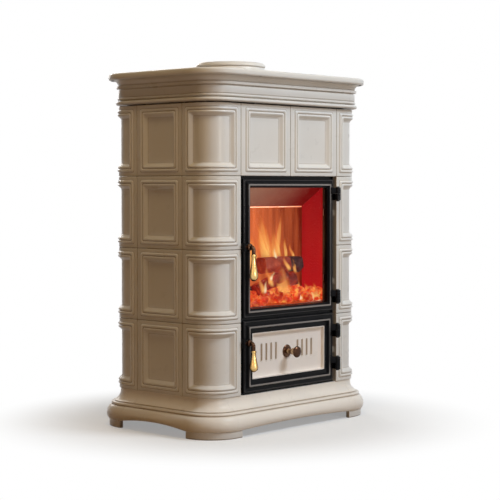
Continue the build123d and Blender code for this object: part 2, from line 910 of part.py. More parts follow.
def cast_door(low, high, inset_x, inset_z, moulding_gap, tongue_depth, hub_z, hinge_heights):
    """A cast door: plate with a window, a rounded moulding, a rear tongue, boss and knuckles."""
    window_half = door_half - inset_x
    window_low, window_high = low + inset_z, high - inset_z
    with BuildSketch(front_view.offset(-door_back)) as outline:
        frame_sketch(door_half, low, high)
        frame_sketch(window_half, window_low, window_high, window_corner, Mode.SUBTRACT)
    extrude(outline.sketch, amount=door_back)
    chamfer(faces().sort_by(Axis.Y)[0].outer_wire().edges(), door_edge_round)
    # rounded moulding round the window
    grow_in = moulding_gap - moulding_width / 2
    grow_out = moulding_gap + moulding_width / 2
    with BuildSketch(front_view) as outline:
        frame_sketch(
            window_half + grow_out,
            window_low - grow_out,
            window_high + grow_out,
            window_corner + grow_out,
        )
        frame_sketch(
            window_half + grow_in,
            window_low - grow_in,
            window_high + grow_in,
            window_corner + grow_in,
            Mode.SUBTRACT,
        )
    extrude(outline.sketch, amount=moulding_rise)
    fillet(faces().sort_by(Axis.Y)[0].edges(), moulding_round)
    # tongue that enters the frame's opening, rebated for the glass or the panel
    with BuildSketch(front_view.offset(-door_back)) as outline:
        frame_sketch(tongue_half, low + frame_lap + tongue_gap, high - frame_lap - tongue_gap)
        frame_sketch(
            window_half + panel_lap,
            window_low - panel_lap,
            window_high + panel_lap,
            0,
            Mode.SUBTRACT,
        )
    extrude(outline.sketch, amount=-tongue_depth)
    # groove for the rope seal
    with BuildSketch(front_view.offset(-door_back)) as outline:
        seal_ring(low, high, running_gap)
    extrude(outline.sketch, amount=seal_depth, mode=Mode.SUBTRACT)
    # boss of the handle spindle
    with BuildSketch(front_view) as outline:
        with Locations((hub_x, hub_z)):
            Circle(boss_radius)
    extrude(outline.sketch, amount=boss_rise)
    with BuildSketch(front_view.offset(-door_back)) as outline:
        with Locations((hub_x, hub_z)):
            Circle(spindle_radius + spindle_clearance)
    extrude(outline.sketch, amount=door_back + boss_rise, mode=Mode.SUBTRACT)
    # the upper knuckle of each hinge, on a strap from the door's right edge
    for hinge_z in hinge_heights:
        with BuildSketch(Plane.XY.offset(hinge_z + knuckle_gap / 2)) as outline:
            with Locations((hinge_x, hinge_y)):
                Circle(knuckle_radius)
            with BuildLine() as strap:
                Polyline(
                    (hinge_x, hinge_y - knuckle_radius),
                    (hinge_x, -half_y),
                    (hinge_x - hinge_strap, -half_y),
                    (hinge_x - hinge_strap, -half_y - moulding_rise),
                    close=True,
                )
            make_face(strap.edges())
            with Locations((hinge_x, hinge_y)):
                Circle(pin_radius + pin_clearance, mode=Mode.SUBTRACT)
        extrude(outline.sketch, amount=knuckle_height)


def seal_ring(low, high, clearance):
    """Ring on the back of a door where the rope seal lies."""
    middle = frame_lap / 2
    reach = seal_width / 2 + clearance
    frame_sketch(door_half - middle + reach, low + middle - reach, high - middle + reach)
    frame_sketch(
        door_half - middle - reach, low + middle + reach, high - middle - reach, 0, Mode.SUBTRACT
    )


glass_tongue = glass_seat + glass_thickness
panel_tongue = glass_seat + panel_sheet

with BuildPart() as upper_door:
    cast_door(
        upper_door_low,
        upper_door_high,
        upper_window_inset_x,
        upper_window_inset_z,
        upper_moulding_gap,
        glass_tongue,
        upper_hub_z,
        upper_hinges,
    )
save(upper_door, "upper_door")

with BuildPart() as lower_door:
    cast_door(
        lower_door_low,
        lower_door_high,
        lower_window_inset_x,
        lower_window_inset_z,
        lower_moulding_gap,
        panel_tongue,
        lower_hub_z,
        lower_hinges,
    )
save(lower_door, "lower_door")

for door_name, low, high in (
    ("upper", upper_door_low, upper_door_high),
    ("lower", lower_door_low, lower_door_high),
):
    with BuildPart() as rope_seal:
        with BuildSketch(front_view.offset(-door_back)):
            seal_ring(low, high, 0)
        extrude(amount=seal_depth)
    save(rope_seal, f"{door_name}_door_seal")

glass_half = door_half - upper_window_inset_x + glass_lap
glass_low = upper_door_low + upper_window_inset_z - glass_lap
glass_high = upper_door_high - upper_window_inset_z + glass_lap
glass_front = door_back + glass_seat

with BuildPart() as door_glass:
    with BuildSketch(front_view.offset(-glass_front)):
        frame_sketch(glass_half, glass_low, glass_high)
    extrude(amount=-glass_thickness)
save(door_glass, "door_glass")

with BuildPart() as glass_clips:
    clip_middle = (upper_door_low + upper_door_high) / 2
    with BuildSketch(front_view.offset(-door_back - glass_tongue)):
        for side in (-1, 1):
            for clip_z in (clip_middle - clip_height, clip_middle + clip_height):
                with Locations((side * glass_half, clip_z)):
                    Rectangle(2 * clip_reach, clip_length)
            with Locations((side * clip_height, glass_low), (side * clip_height, glass_high)):
                Rectangle(clip_length, 2 * clip_reach)
    extrude(amount=-clip_thickness)
save(glass_clips, "glass_clips")

# ---------------------------------------------------------------- handles

hub_rise = boss_rise + door_gap


def handle_view(hub_z):
    """Side view of a handle through its spindle: local x is the rise and y the height."""
    return Plane(origin=(hub_x, -half_y, hub_z), x_dir=(0, -1, 0), z_dir=(-1, 0, 0))


for door_name, hub_z, grip_length in (
    ("upper", upper_hub_z, upper_grip_length),
    ("lower", lower_hub_z, lower_grip_length),
):
    with BuildPart() as handle:
        with BuildSketch(front_view.offset(-door_back)):
            with Locations((hub_x, hub_z)):
                Circle(spindle_radius)
        extrude(amount=door_back + hub_rise)
        with BuildSketch(front_view.offset(hub_rise)):
            with Locations((hub_x, hub_z)):
                Circle(hub_radius)
        extrude(amount=hub_length)
        # latch tongue that rests on the keeper
        with BuildSketch(front_view.offset(hub_rise)):
            with Locations((hub_x - latch_length / 2, hub_z)):
                Rectangle(latch_length, latch_height)
        extrude(amount=latch_thickness)
        # arm: out of the hub and round a bend to hang down
        with BuildLine(handle_view(hub_z)) as arm_path:
            Line((hub_rise + hub_length / 2, 0), (handle_rise - arm_bend, 0))
            ThreePointArc(
                (handle_rise - arm_bend, 0),
                (
                    handle_rise - arm_bend * (1 - sin(radians(45))),
                    -arm_bend * (1 - cos(radians(45))),
                ),
                (handle_rise, -arm_bend),
            )
            Line((handle_rise, -arm_bend), (handle_rise, -arm_drop))
        with BuildSketch(front_view.offset(hub_rise + hub_length / 2)):
            with Locations((hub_x, hub_z)):
                Circle(arm_radius)
        sweep(path=arm_path.wires()[0])
    save(handle, f"{door_name}_handle")

    with BuildPart() as grip:
        with BuildSketch(handle_view(hub_z)):
            profile_face(
                (handle_rise, -arm_drop),
                (
                    ((handle_rise + arm_radius, -arm_drop),),
                    (
                        (handle_rise + grip_waist, -arm_drop - grip_length * 0.25),
                        (handle_rise + grip_waist + 1.6, -arm_drop - grip_length * 0.5),
                    ),
                    (
                        (handle_rise + grip_radius, -arm_drop - grip_length * 0.82),
                        (handle_rise + grip_radius * 0.55, -arm_drop - grip_length * 0.975),
                    ),
                    ((handle_rise, -arm_drop - grip_length),),
                ),
            )
        revolve(axis=Axis((hub_x, -half_y - handle_rise, hub_z), (0, 0, 1)))
    save(grip, f"{door_name}_handle_grip")

# ---------------------------------------------------------------- air panel and shutter

panel_half = door_half - lower_window_inset_x + panel_lap - running_gap
window_low = lower_door_low + lower_window_inset_z
window_high = lower_door_high - lower_window_inset_z
panel_low = window_low - panel_lap + running_gap
panel_high = window_high + panel_lap - running_gap
air_z = lower_door_low + slot_middle_height
knob_z = lower_door_low + knob_height
dish_half = door_half - lower_window_inset_x - running_gap
slot_places = [
    (side * (slot_first + index * slot_pitch), air_z)
    for side in (-1, 1)
    for index in range(slots_per_side)
]
stem_slot_length = shutter_travel + 2 * knob_stem_radius + stem_play

with BuildPart() as air_panel:
    with BuildSketch(front_view.offset(-glass_front)):
        frame_sketch(panel_half, panel_low, panel_high)
    extrude(amount=-panel_sheet)
    # shallow dish wall that lines the window
    with BuildSketch(front_view.offset(-glass_front)):
        frame_sketch(
            dish_half, window_low + running_gap, window_high - running_gap, window_corner
        )
        frame_sketch(
            dish_half - dish_wall,
            window_low + running_gap + dish_wall,
            window_high - running_gap - dish_wall,
            window_corner / 2,
            Mode.SUBTRACT,
        )
    extrude(amount=glass_front - dish_lip)
    with BuildSketch(front_view.offset(-glass_front)):
        with Locations(*slot_places):
            SlotOverall(slot_height, slot_width, rotation=90)
        with Locations((shutter_travel / 2, knob_z)):
            SlotOverall(stem_slot_length, 2 * knob_stem_radius + 1)
    extrude(amount=-panel_sheet, mode=Mode.SUBTRACT)
save(air_panel, "air_panel")

shutter_front = glass_front + panel_sheet + shutter_gap
shutter_back = shutter_front + shutter_sheet
guide_front = door_back + panel_tongue

with BuildPart() as air_shutter:
    with BuildSketch(front_view.offset(-shutter_front)):
        frame_sketch(shutter_half, air_z - shutter_height / 2, air_z + shutter_height / 2)
        with Locations(*slot_places):
            SlotOverall(slot_height, slot_width, rotation=90, mode=Mode.SUBTRACT)
    extrude(amount=-shutter_sheet)
save(air_shutter, "air_shutter")

with BuildPart() as shutter_guides:
    guide_back = shutter_back + running_gap + guide_lip_sheet
    for side in (-1, 1):
        rail_edge = air_z + side * (shutter_height / 2 + running_gap)
        with BuildSketch(front_view.offset(-guide_front)):
            with Locations((0, rail_edge + side * guide_height / 2)):
                Rectangle(2 * tongue_half, guide_height)
        extrude(amount=-(guide_back - guide_front))
        with BuildSketch(front_view.offset(-guide_back)):
            with Locations((0, rail_edge + side * (guide_height - guide_lip) / 2)):
                Rectangle(2 * tongue_half, guide_height + guide_lip)
        extrude(amount=guide_lip_sheet)
save(shutter_guides, "shutter_guides")

with BuildPart() as air_knob:
    knob_view = Plane(origin=(0, -half_y, knob_z), x_dir=(0, -1, 0), z_dir=(-1, 0, 0))
    flange_back = -glass_front + running_gap
    cap_back = knob_rise - knob_cap
    with BuildSketch(knob_view):
        profile_face(
            (-shutter_front, 0),
            (
                ((-shutter_front, knob_stem_radius),),
                ((flange_back, knob_stem_radius),),
                ((flange_back, knob_flange_radius),),
                ((flange_back + knob_flange / 2, knob_flange_radius),),
                ((flange_back + knob_flange, knob_flange_radius - knob_flange_bevel),),
                ((flange_back + knob_flange, knob_neck_radius),),
                ((cap_back / 4, knob_neck_radius),),
                (
                    (cap_back * 0.45, knob_body_radius - 0.8),
                    (cap_back * 0.7, knob_body_radius),
                ),
                ((cap_back, knob_neck_radius + 1),),
                ((cap_back, knob_cap_radius - knob_cap_lip),),
                (
                    (cap_back + knob_cap * 0.4, knob_cap_radius),
                    (cap_back + knob_cap * 0.75, knob_cap_radius * 0.8),
                ),
                ((knob_rise, knob_cap_radius * 0.4),),
                ((knob_rise, 0),),
            ),
        )
    revolve(axis=Axis((0, 0, knob_z), (0, 1, 0)))
save(air_knob, "air_knob")
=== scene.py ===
"""A tiled wood stove with a fire behind its glass door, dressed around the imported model.

Sizes in the sections are millimetres unless a name ends in _m; meshes are made in metres.
"""

import math
import random

import bmesh
import bpy
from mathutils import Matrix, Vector, noise


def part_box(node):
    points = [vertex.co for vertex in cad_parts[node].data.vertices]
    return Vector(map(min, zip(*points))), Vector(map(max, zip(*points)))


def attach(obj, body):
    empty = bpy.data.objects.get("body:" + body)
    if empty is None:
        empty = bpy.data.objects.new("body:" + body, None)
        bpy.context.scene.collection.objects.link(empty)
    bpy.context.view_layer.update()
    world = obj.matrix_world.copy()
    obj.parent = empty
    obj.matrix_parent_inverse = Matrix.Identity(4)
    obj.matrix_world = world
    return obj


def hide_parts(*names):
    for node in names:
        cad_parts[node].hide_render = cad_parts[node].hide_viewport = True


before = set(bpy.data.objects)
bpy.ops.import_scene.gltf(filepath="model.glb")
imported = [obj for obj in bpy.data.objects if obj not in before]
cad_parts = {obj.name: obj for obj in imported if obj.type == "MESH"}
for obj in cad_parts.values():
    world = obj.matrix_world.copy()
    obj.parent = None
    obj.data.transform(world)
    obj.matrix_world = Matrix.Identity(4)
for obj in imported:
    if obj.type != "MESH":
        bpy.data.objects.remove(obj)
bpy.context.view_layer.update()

# ------------------------------------------------------------------ glazed tiles
# Pressed stoneware tiles with two beads round a sunken panel. They are dipped in an ivory glaze
# that gathers in the grooves, and they hang in rows on the steel carcass. The grooves and edges
# are also painted darker as shade, and the bead crowns paler as a painted highlight.

MM = 0.001
tile_pitch = 220
tile_gap = 0.8
packed_gap = 0.4
cornice_gap = 3.2
tile_rows = 4
tile_back = -22
tile_face = 3.0
panel_depth = -5.0
corner_radius = 68
corner_wing = 54
ridge_rise = 6.5
tile_edge_round = 2.4
wave_height = 0.22
wave_size = 60
corner_steps = 30
tile_steps = 12
corner_margin = 2
side_margin = 3
lintel_margin = 8

glaze_ivory = (0.80, 0.78, 0.745, 1)
# the groove colour is partly pooled glaze and partly painted shade; the crown colour is a painted highlight
glaze_pooled_shade = (0.29, 0.205, 0.125, 1)
glaze_crown_highlight = (0.90, 0.89, 0.87, 1)

right_tiles_low, right_tiles_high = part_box("side_tiles_right")
lintel_low, lintel_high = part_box("lintel_tile_left")
wall_x = right_tiles_high.x / MM - ridge_rise
wall_y = -lintel_low.y / MM - ridge_rise
side_width = (right_tiles_high.y - right_tiles_low.y) / MM
front_width = (lintel_high.x - lintel_low.x) / MM
tiles_foot = round(right_tiles_low.z / MM)
axis_x = wall_x - corner_radius
axis_y = wall_y - corner_radius
tiles_top = tiles_foot + tile_rows * tile_pitch

# inset from the tile's edge, rise over the wall, corner radius
tile_profile = [
    (0.0, tile_face - tile_edge_round, 1.5),
    (0.3, tile_face - tile_edge_round * 0.45, 1.5),
    (1.0, tile_face - tile_edge_round * 0.14, 2.0),
    (tile_edge_round, tile_face, 2.5),
    (10.4, 2.6, 4.0),
    (11.8, 2.5, 5.0),
    (12.8, 3.4, 6.0),
    (13.9, 5.0, 6.5),
    (15.4, 6.3, 6.5),
    (17.2, ridge_rise, 6.5),
    (19.0, 6.0, 6.0),
    (20.4, 4.6, 5.5),
    (21.4, 3.3, 5.5),
    (22.4, 3.1, 5.5),
    (23.6, 4.2, 5.5),
    (25.2, 5.6, 5.0),
    (27.0, 5.9, 5.0),
    (28.8, 5.1, 4.5),
    (31.0, 3.0, 4.0),
    (34.5, -0.9, 3.5),
    (37.5, -3.6, 3.0),
    (39.6, -4.7, 3.0),
    (41.6, panel_depth, 3.0),
    (52.0, panel_depth, 0.0),
]


def new_effect(name, inputs, outputs):
    """An empty shader node group with its input and output nodes."""
    effect = bpy.data.node_groups.new(name, "ShaderNodeTree")
    for label, kind in inputs:
        effect.interface.new_socket(name=label, in_out="INPUT", socket_type=kind)
    for label, kind in outputs:
        effect.interface.new_socket(name=label, in_out="OUTPUT", socket_type=kind)
    return effect, effect.nodes.new("NodeGroupInput"), effect.nodes.new("NodeGroupOutput")


def mottle(tree, size, detail, low, high, stretch=(1, 1, 1)):
    """Noise in the object's own space, as a value between low and high."""
    place = tree.nodes.new("ShaderNodeTexCoord")
    scale = tree.nodes.new("ShaderNodeVectorMath")
    scale.operation = "MULTIPLY"
    scale.inputs[1].default_value = stretch
    cloud = tree.nodes.new("ShaderNodeTexNoise")
    cloud.inputs["Scale"].default_value = size
    cloud.inputs["Detail"].default_value = detail
    spread = tree.nodes.new("ShaderNodeMapRange")
    spread.inputs["From Min"].default_value = 0.3
    spread.inputs["From Max"].default_value = 0.7
    spread.inputs["To Min"].default_value = low
    spread.inputs["To Max"].default_value = high
    tree.links.new(place.outputs["Object"], scale.inputs[0])
    tree.links.new(scale.outputs["Vector"], cloud.inputs["Vector"])
    tree.links.new(cloud.outputs["Fac"], spread.inputs["Value"])
    return spread.outputs["Result"]


def blend_colours(tree, amount, first, second):
    """Mix two colours by a mask; each is a socket or a fixed colour."""
    mix = tree.nodes.new("ShaderNodeMix")
    mix.data_type = "RGBA"
    mix.clamp_factor = True
    tree.links.new(amount, mix.inputs["Factor"])
    for source, socket in ((first, mix.inputs[6]), (second, mix.inputs[7])):
        if isinstance(source, tuple):
            socket.default_value = source
        else:
            tree.links.new(source, socket)
    return mix.outputs[2]


def sum_up(tree, operation, first, second):
    """One arithmetic step on two values, each a socket or a number."""
    step = tree.nodes.new("ShaderNodeMath")
    step.operation = operation
    for source, socket in ((first, step.inputs[0]), (second, step.inputs[1])):
        if isinstance(source, (int, float)):
            socket.default_value = source
        else:
            tree.links.new(source, socket)
    return step.outputs["Value"]


def new_finish(name, **values):
    """A material whose Principled shader has these fixed values."""
    finish = bpy.data.materials.new(name)
    finish.use_nodes = True
    shader = finish.node_tree.nodes["Principled BSDF"]
    for label, value in values.items():
        shader.inputs[label.replace("_", " ").title().replace("Ior", "IOR")].default_value = value
    return finish, finish.node_tree, shader


def add_bump(tree, shader, height, strength, distance_m):
    """Drive the shader's normal from a height."""
    bump = tree.nodes.new("ShaderNodeBump")
    bump.inputs["Strength"].default_value = strength
    bump.inputs["Distance"].default_value = distance_m
    tree.links.new(height, bump.inputs["Height"])
    tree.links.new(bump.outputs["Normal"], shader.inputs["Normal"])


def use_effect(tree, effect, values):
    """A group node of a shader effect, with these inputs set."""
    node = tree.nodes.new("ShaderNodeGroup")
    node.node_tree = effect
    for label, value in values.items():
        node.inputs[label].default_value = value
    return node


COLOUR, VALUE = "NodeSocketColor", "NodeSocketFloat"

# the glaze's cloudiness, its pooling in grooves deepened as painted shade, and painted crown highlights
glaze_effect, glaze_in, glaze_out = new_effect(
    "glaze_pool_shade_highlight",
    (("Glaze", COLOUR), ("Pooled Shade", COLOUR), ("Crown Highlight", COLOUR), ("Tone Mask", VALUE)),
    (("Color", COLOUR), ("Roughness", VALUE), ("Height", VALUE)),
)
cloudy = mottle(glaze_effect, 5, 3, 0, 0.07)
groove_shade_mask = sum_up(glaze_effect, "MULTIPLY", glaze_in.outputs["Tone Mask"], 0.7)
crown_highlight_mask = sum_up(glaze_effect, "MULTIPLY", glaze_in.outputs["Tone Mask"], -0.8)
pooled_and_shaded = blend_colours(
    glaze_effect,
    sum_up(glaze_effect, "ADD", cloudy, groove_shade_mask),
    glaze_in.outputs["Glaze"],
    glaze_in.outputs["Pooled Shade"],
)
glaze_effect.links.new(
    blend_colours(glaze_effect, crown_highlight_mask, pooled_and_shaded, glaze_in.outputs["Crown Highlight"]), glaze_out.inputs["Color"]
)
glaze_effect.links.new(mottle(glaze_effect, 30, 4, 0.26, 0.36), glaze_out.inputs["Roughness"])
glaze_effect.links.new(
    sum_up(
        glaze_effect,
        "ADD",
        mottle(glaze_effect, 16, 2, 0, 0.8),
        mottle(glaze_effect, 220, 2, 0, 0.06),
    ),
    glaze_out.inputs["Height"],
)


def glaze(name, colour, pooled_shade_colour, highlight_colour):
    """A dipped glaze over stoneware, with painted shade in its grooves and painted highlights on its crowns.
    """
    finish, tree, shader = new_finish(
        name, coat_weight=0.03, coat_roughness=0.12, specular_ior_level=0.22
    )
    effect = use_effect(tree, glaze_effect, {"Glaze": colour, "Pooled Shade": pooled_shade_colour, "Crown Highlight": highlight_colour})
    relief = tree.nodes.new("ShaderNodeAttribute")
    relief.attribute_name = "tone_mask"
    tree.links.new(relief.outputs["Fac"], effect.inputs["Tone Mask"])
    tree.links.new(effect.outputs["Color"], shader.inputs["Base Color"])
    tree.links.new(effect.outputs["Roughness"], shader.inputs["Roughness"])
    add_bump(tree, shader, effect.outputs["Height"], 0.35, 0.0012)
    return finish


ivory_glaze = glaze("ivory_glaze", glaze_ivory, glaze_pooled_shade, glaze_crown_highlight)


def make_piece(name, verts, faces, finish, body, nodes=(), slot=None, sharp=35, tone_mask=None):
    """A mesh piece in millimetres that rides on a body and may stand for CAD nodes."""
    mesh = bpy.data.meshes.new(name)
    mesh.from_pydata([Vector(v) * MM for v in verts], [], faces)
    if tone_mask is not None:
        mesh.attributes.new("tone_mask", "FLOAT", "POINT").data.foreach_set("value", tone_mask)
    work = bmesh.new()
    work.from_mesh(mesh)
    bmesh.ops.remove_doubles(work, verts=work.verts, dist=0.00001)
    bmesh.ops.dissolve_degenerate(work, edges=work.edges, dist=0.000005)
    bmesh.ops.recalc_face_normals(work, faces=work.faces)
    work.to_mesh(mesh)
    work.free()
    mesh.shade_smooth()
    mesh.set_sharp_from_angle(angle=math.radians(sharp))
    mesh.materials.append(finish)
    piece = bpy.data.objects.new(name, mesh)
    bpy.context.scene.collection.objects.link(piece)
    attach(piece, body)
    if nodes:
        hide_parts(*nodes)
    return piece


def rounded_ring(width, height, radius, across, up, turn):
    """Points of a rounded rectangle round its middle, from the bottom left, anticlockwise."""
    half_w, half_h = width / 2, height / 2
    reach_w, reach_h = half_w - radius, half_h - radius
    middles = ((reach_w, -reach_h), (reach_w, reach_h), (-reach_w, reach_h), (-reach_w, -reach_h))
    points = []
    for side, (cx, cy) in enumerate(middles):
        outward = math.radians(-90 + 90 * side)
        start = middles[side - 1]
        offset = (radius * math.cos(outward), radius * math.sin(outward))
        steps = up if side % 2 else across
        for step in range(steps):
            part = step / steps
            points.append(
                (
                    start[0] + (cx - start[0]) * part + offset[0],
                    start[1] + (cy - start[1]) * part + offset[1],
                )
            )
        for step in range(turn):
            angle = outward + math.radians(90 * step / turn)
            points.append((cx + radius * math.cos(angle), cy + radius * math.sin(angle)))
    return points


def pool_shade_highlight_at(inset):
    """How dark the glaze is painted at this distance from a tile's edge: pooled glaze and painted
    shade in the grooves and at the edge, and a painted highlight on the bead crowns where negative.
    """
    if inset < 0.6 or 11 < inset < 12.5 or 21 < inset < 23:
        return 1.0
    if 38 < inset < 40:
        return 0.6
    return -0.8 if 15 < inset < 18 or 25 < inset < 28 else 0.0


def ring_faces(count, first, second):
    """Quads between two rings of the same count."""
    return [
        (first + i, first + (i + 1) % count, second + (i + 1) % count, second + i)
        for i in range(count)
    ]


def relief_tile(name, width, height, place, across, up, seed, node, margin):
    """One tile with its beads and panel, laid on the wall by place(along, z, rise)."""
    turn = 6
    rng = random.Random(seed)
    shift = Vector((rng.uniform(0, 90), rng.uniform(0, 90), rng.uniform(0, 90)))
    verts, faces, tone_mask = [], [], []

    def add(along, z, rise, depth):
        wave = noise.noise(Vector((along, z, 0)) / wave_size + shift) if rise > panel_depth else 0
        verts.append(place(along, z, rise + wave * wave_height))
        tone_mask.append(depth)

    rings = [(0, tile_back, 1.5)] + tile_profile
    for inset, rise, radius in rings:
        # grooves and edges get painted shade, bead crowns a painted highlight, hidden sides a quarter shade
        depth = pool_shade_highlight_at(inset) if rise > tile_back else 0.25
        wider = margin * min(1.0, max(0.0, (inset - tile_edge_round) / 7))
        for along, z in rounded_ring(
            width - 2 * (inset + wider), height - 2 * inset, radius, across, up, turn
        ):
            add(along, z, rise, depth)
    count = 2 * across + 2 * up + 4 * turn
    for ring in range(len(rings) - 1):
        faces += ring_faces(count, ring * count, (ring + 1) * count)
    for inset, rise, flip in ((rings[-1][0], rings[-1][1], 1), (0, tile_back, -1)):
        first = len(verts)
        wider = margin if flip > 0 else 0
        inner_w, inner_h = width - 2 * (inset + wider), height - 2 * inset
        for row in range(up + 1):
            for column in range(across + 1):
                along = (column / across - 0.5) * inner_w
                z = (row / up - 0.5) * inner_h
                add(along, z, rise, 0.0)
        for row in range(up):
            for column in range(across):
                a = first + row * (across + 1) + column
                b, c, d = a + 1, a + across + 2, a + across + 1
                faces.append((a, b, c, d)[::flip])
    return make_piece(
        name, verts, faces, ivory_glaze, "stove", [node], "glazed_tile", sharp=50, tone_mask=tone_mask
    )


def flat_place(origin, along_dir, outward, middle_z):
    """Lays a flat tile on a wall."""

    def place(along, z, rise):
        spot = Vector(origin) + Vector(along_dir) * along + Vector(outward) * rise
        return (spot.x, spot.y, middle_z + z)

    return place


def corner_place(cx, cy, start_angle, middle_z):
    """Wraps a tile round a corner: a straight wing, a quarter turn and a straight wing."""
    arc_half = corner_radius * math.pi / 4

    def place(along, z, rise):
        turned = max(-arc_half, min(arc_half, along))
        angle = math.radians(start_angle) + (turned + arc_half) / corner_radius
        out = Vector((math.cos(angle), math.sin(angle)))
        right = Vector((-out.y, out.x))
        spot = Vector((cx, cy)) + out * (corner_radius + rise) + right * (along - turned)
        return (spot.x, spot.y, middle_z + z)

    return place


corner_girth = 2 * corner_wing + corner_radius * math.pi / 2 - tile_gap
corner_spots = {
    "front_left": (-axis_x, -axis_y, 180),
    "front_right": (axis_x, -axis_y, 270),
    "back_right": (axis_x, axis_y, 0),
    "back_left": (-axis_x, axis_y, 90),
}
for row in range(tile_rows):
    lost = cornice_gap if row == tile_rows - 1 else 0
    middle_z = tiles_foot + (row + 0.5) * tile_pitch - lost / 2
    tile_height = tile_pitch - tile_gap - lost
    for spot, (cx, cy, start_angle) in corner_spots.items():
        relief_tile(
            f"corner_tile_{spot}_{row + 1}",
            corner_girth,
            tile_height,
            corner_place(cx, cy, start_angle, middle_z),
            corner_steps,
            tile_steps,
            f"{spot}{row}",
            f"corner_tiles_{spot}",
            corner_margin,
        )
    for side_name, side in (("left", -1), ("right", 1)):
        relief_tile(
            f"side_tile_{side_name}_{row + 1}",
            side_width + packed_gap - tile_gap,
            tile_height,
            flat_place((side * wall_x, 0, 0), (0, side, 0), (side, 0, 0), middle_z),
            tile_steps,
            tile_steps,
            f"{side_name}{row}",
            f"side_tiles_{side_name}",
            side_margin,
        )
for side_name, side in (("left", -1), ("right", 1)):
    middle_x = side * (front_width + packed_gap) / 2
    relief_tile(
        f"front_tile_{side_name}",
        front_width + packed_gap - tile_gap,
        tile_height,
        flat_place((middle_x, -wall_y, 0), (1, 0, 0), (0, -1, 0), middle_z),
        tile_steps,
        tile_steps,
        f"lintel{side_name}",
        f"lintel_tile_{side_name}",
        lintel_margin,
    )

# ------------------------------------------------------------------ plinth
# Drawn mouldings of glazed stoneware: a cove, a band between two grooves, and a swelling base
# whose lower edge lifts in a shallow arch between the feet. The corners are separate turns. Their
# glaze is painted paler than the tiles' for the light on their upward faces, and darker in the two
# grooves, partly pooled glaze and partly painted shade.

plinth_height = 95
foot_height = tiles_foot - plinth_height
# half the arch's length, and its lift
front_arch = (axis_x - 29, 6)
side_arch = (axis_y - 12, 11)
arch_fade = 30


def arc_points(start, middle, end, steps):
    """Points of the arc through three points, without its start."""
    (ax, ay), (bx, by), (cx, cy) = start, middle, end
    twice = 2 * (ax * (by - cy) + bx * (cy - ay) + cx * (ay - by))
    a2, b2, c2 = ax * ax + ay * ay, bx * bx + by * by, cx * cx + cy * cy
    ux = (a2 * (by - cy) + b2 * (cy - ay) + c2 * (ay - by)) / twice
    uy = (a2 * (cx - bx) + b2 * (ax - cx) + c2 * (bx - ax)) / twice
    radius = math.hypot(ax - ux, ay - uy)
    first = math.atan2(ay - uy, ax - ux)
    sweep = (math.atan2(cy - uy, cx - ux) - first) % (2 * math.pi)
    passing = (math.atan2(by - uy, bx - ux) - first) % (2 * math.pi)
    if passing > sweep:
        sweep -= 2 * math.pi
    return [
        (
            ux + radius * math.cos(first + sweep * step / steps),
            uy + radius * math.sin(first + sweep * step / steps),
        )
        for step in range(1, steps + 1)
    ]


def outline(start, steps, detail=8):
    """Points of an outline: a step of one point is a straight edge, of two an arc."""
    points = [start]
    for step in steps:
        if len(step) == 1:
            points.append(step[0])
        else:
            points += arc_points(points[-1], step[0], step[1], detail)
    return points


def eased(points, radius, detail=3):
    """The closed outline with each sharp corner rounded by up to this radius."""
    out = []
    for i, here in enumerate(points):
        before, after = Vector(points[i - 1]), Vector(points[(i + 1) % len(points)])
        spot = Vector(here)
        back, ahead = before - spot, after - spot
        if back.length < 1e-6 or ahead.length < 1e-6:
            continue
        if back.angle(ahead) > math.radians(155):
            out.append(here)
            continue
        cut = min(radius, back.length * 0.45, ahead.length * 0.45)
        p, q = spot + back.normalized() * cut, spot + ahead.normalized() * cut
        for step in range(detail + 1):
            part = step / detail
            out.append(tuple((1 - part) ** 2 * p + 2 * part * (1 - part) * spot + part**2 * q))
    return out


def stacked(rings):
    """Verts and faces of a closed body from rings of the same count, one after another."""
    count = len(rings[0])
    verts = [spot for ring in rings for spot in ring]
    faces = []
    for index in range(len(rings) - 1):
        faces += ring_faces(count, index * count, (index + 1) * count)
    faces.append(tuple(range(count)))
    faces.append(tuple(range(len(verts) - count, len(verts)))[::-1])
    return verts, faces


def sweep_profile(name, stations, profile, finish, nodes, slot, shape=None, tone_mask=None):
    """A moulding: the profile of (rise, z) carried along (point, outward) stations, with ends."""
    rings = []
    for (px, py), (nx, ny) in stations:
        ring = [(px + nx * rise, py + ny * rise, z) for rise, z in profile]
        rings.append([shape(*spot) for spot in ring] if shape else ring)
    pools = (tone_mask or [0.0] * len(profile)) * len(stations)
    return make_piece(name, *stacked(rings), finish, "stove", nodes, slot, sharp=40, tone_mask=pools)


def wall_stations(outward, steps, forward=0):
    """Stations along one wall between its two corner turns."""
    ox, oy = outward
    along, stand = (axis_x, wall_y) if oy else (axis_y, wall_x)
    along -= packed_gap / 2
    stations = []
    for step in range(steps + 1):
        spot = (2 * step / steps - 1) * along
        stations.append(((ox * stand - oy * spot, oy * stand + ox * spot - forward), outward))
    return stations


def turn_stations(cx, cy, start_angle, steps, forward=0, wings=(0, 0)):
    """Stations round one corner, with a straight wing before and after the quarter turn."""
    stations = []
    for step in range(steps + 1):
        angle = math.radians(start_angle + 90 * step / steps)
        out = (math.cos(angle), math.sin(angle))
        spot = (cx + out[0] * corner_radius, cy + out[1] * corner_radius - forward)
        stations.append((spot, out))
    for wing, index, way in ((wings[0], 0, -1), (wings[1], -1, 1)):
        if wing:
            (px, py), (nx, ny) = stations[index]
            extra = ((px - way * ny * wing, py + way * nx * wing), (nx, ny))
            stations.insert(0 if way < 0 else len(stations), extra)
    return stations


def groove_pool_shade(profile, quirks):
    """How dark each profile point is painted, partly pooled glaze and partly painted shade: most near the
    listed heights.
    """
    return [max(0.0, 0.9 - min(abs(z - quirk) for quirk in quirks) / 3) for _, z in profile]
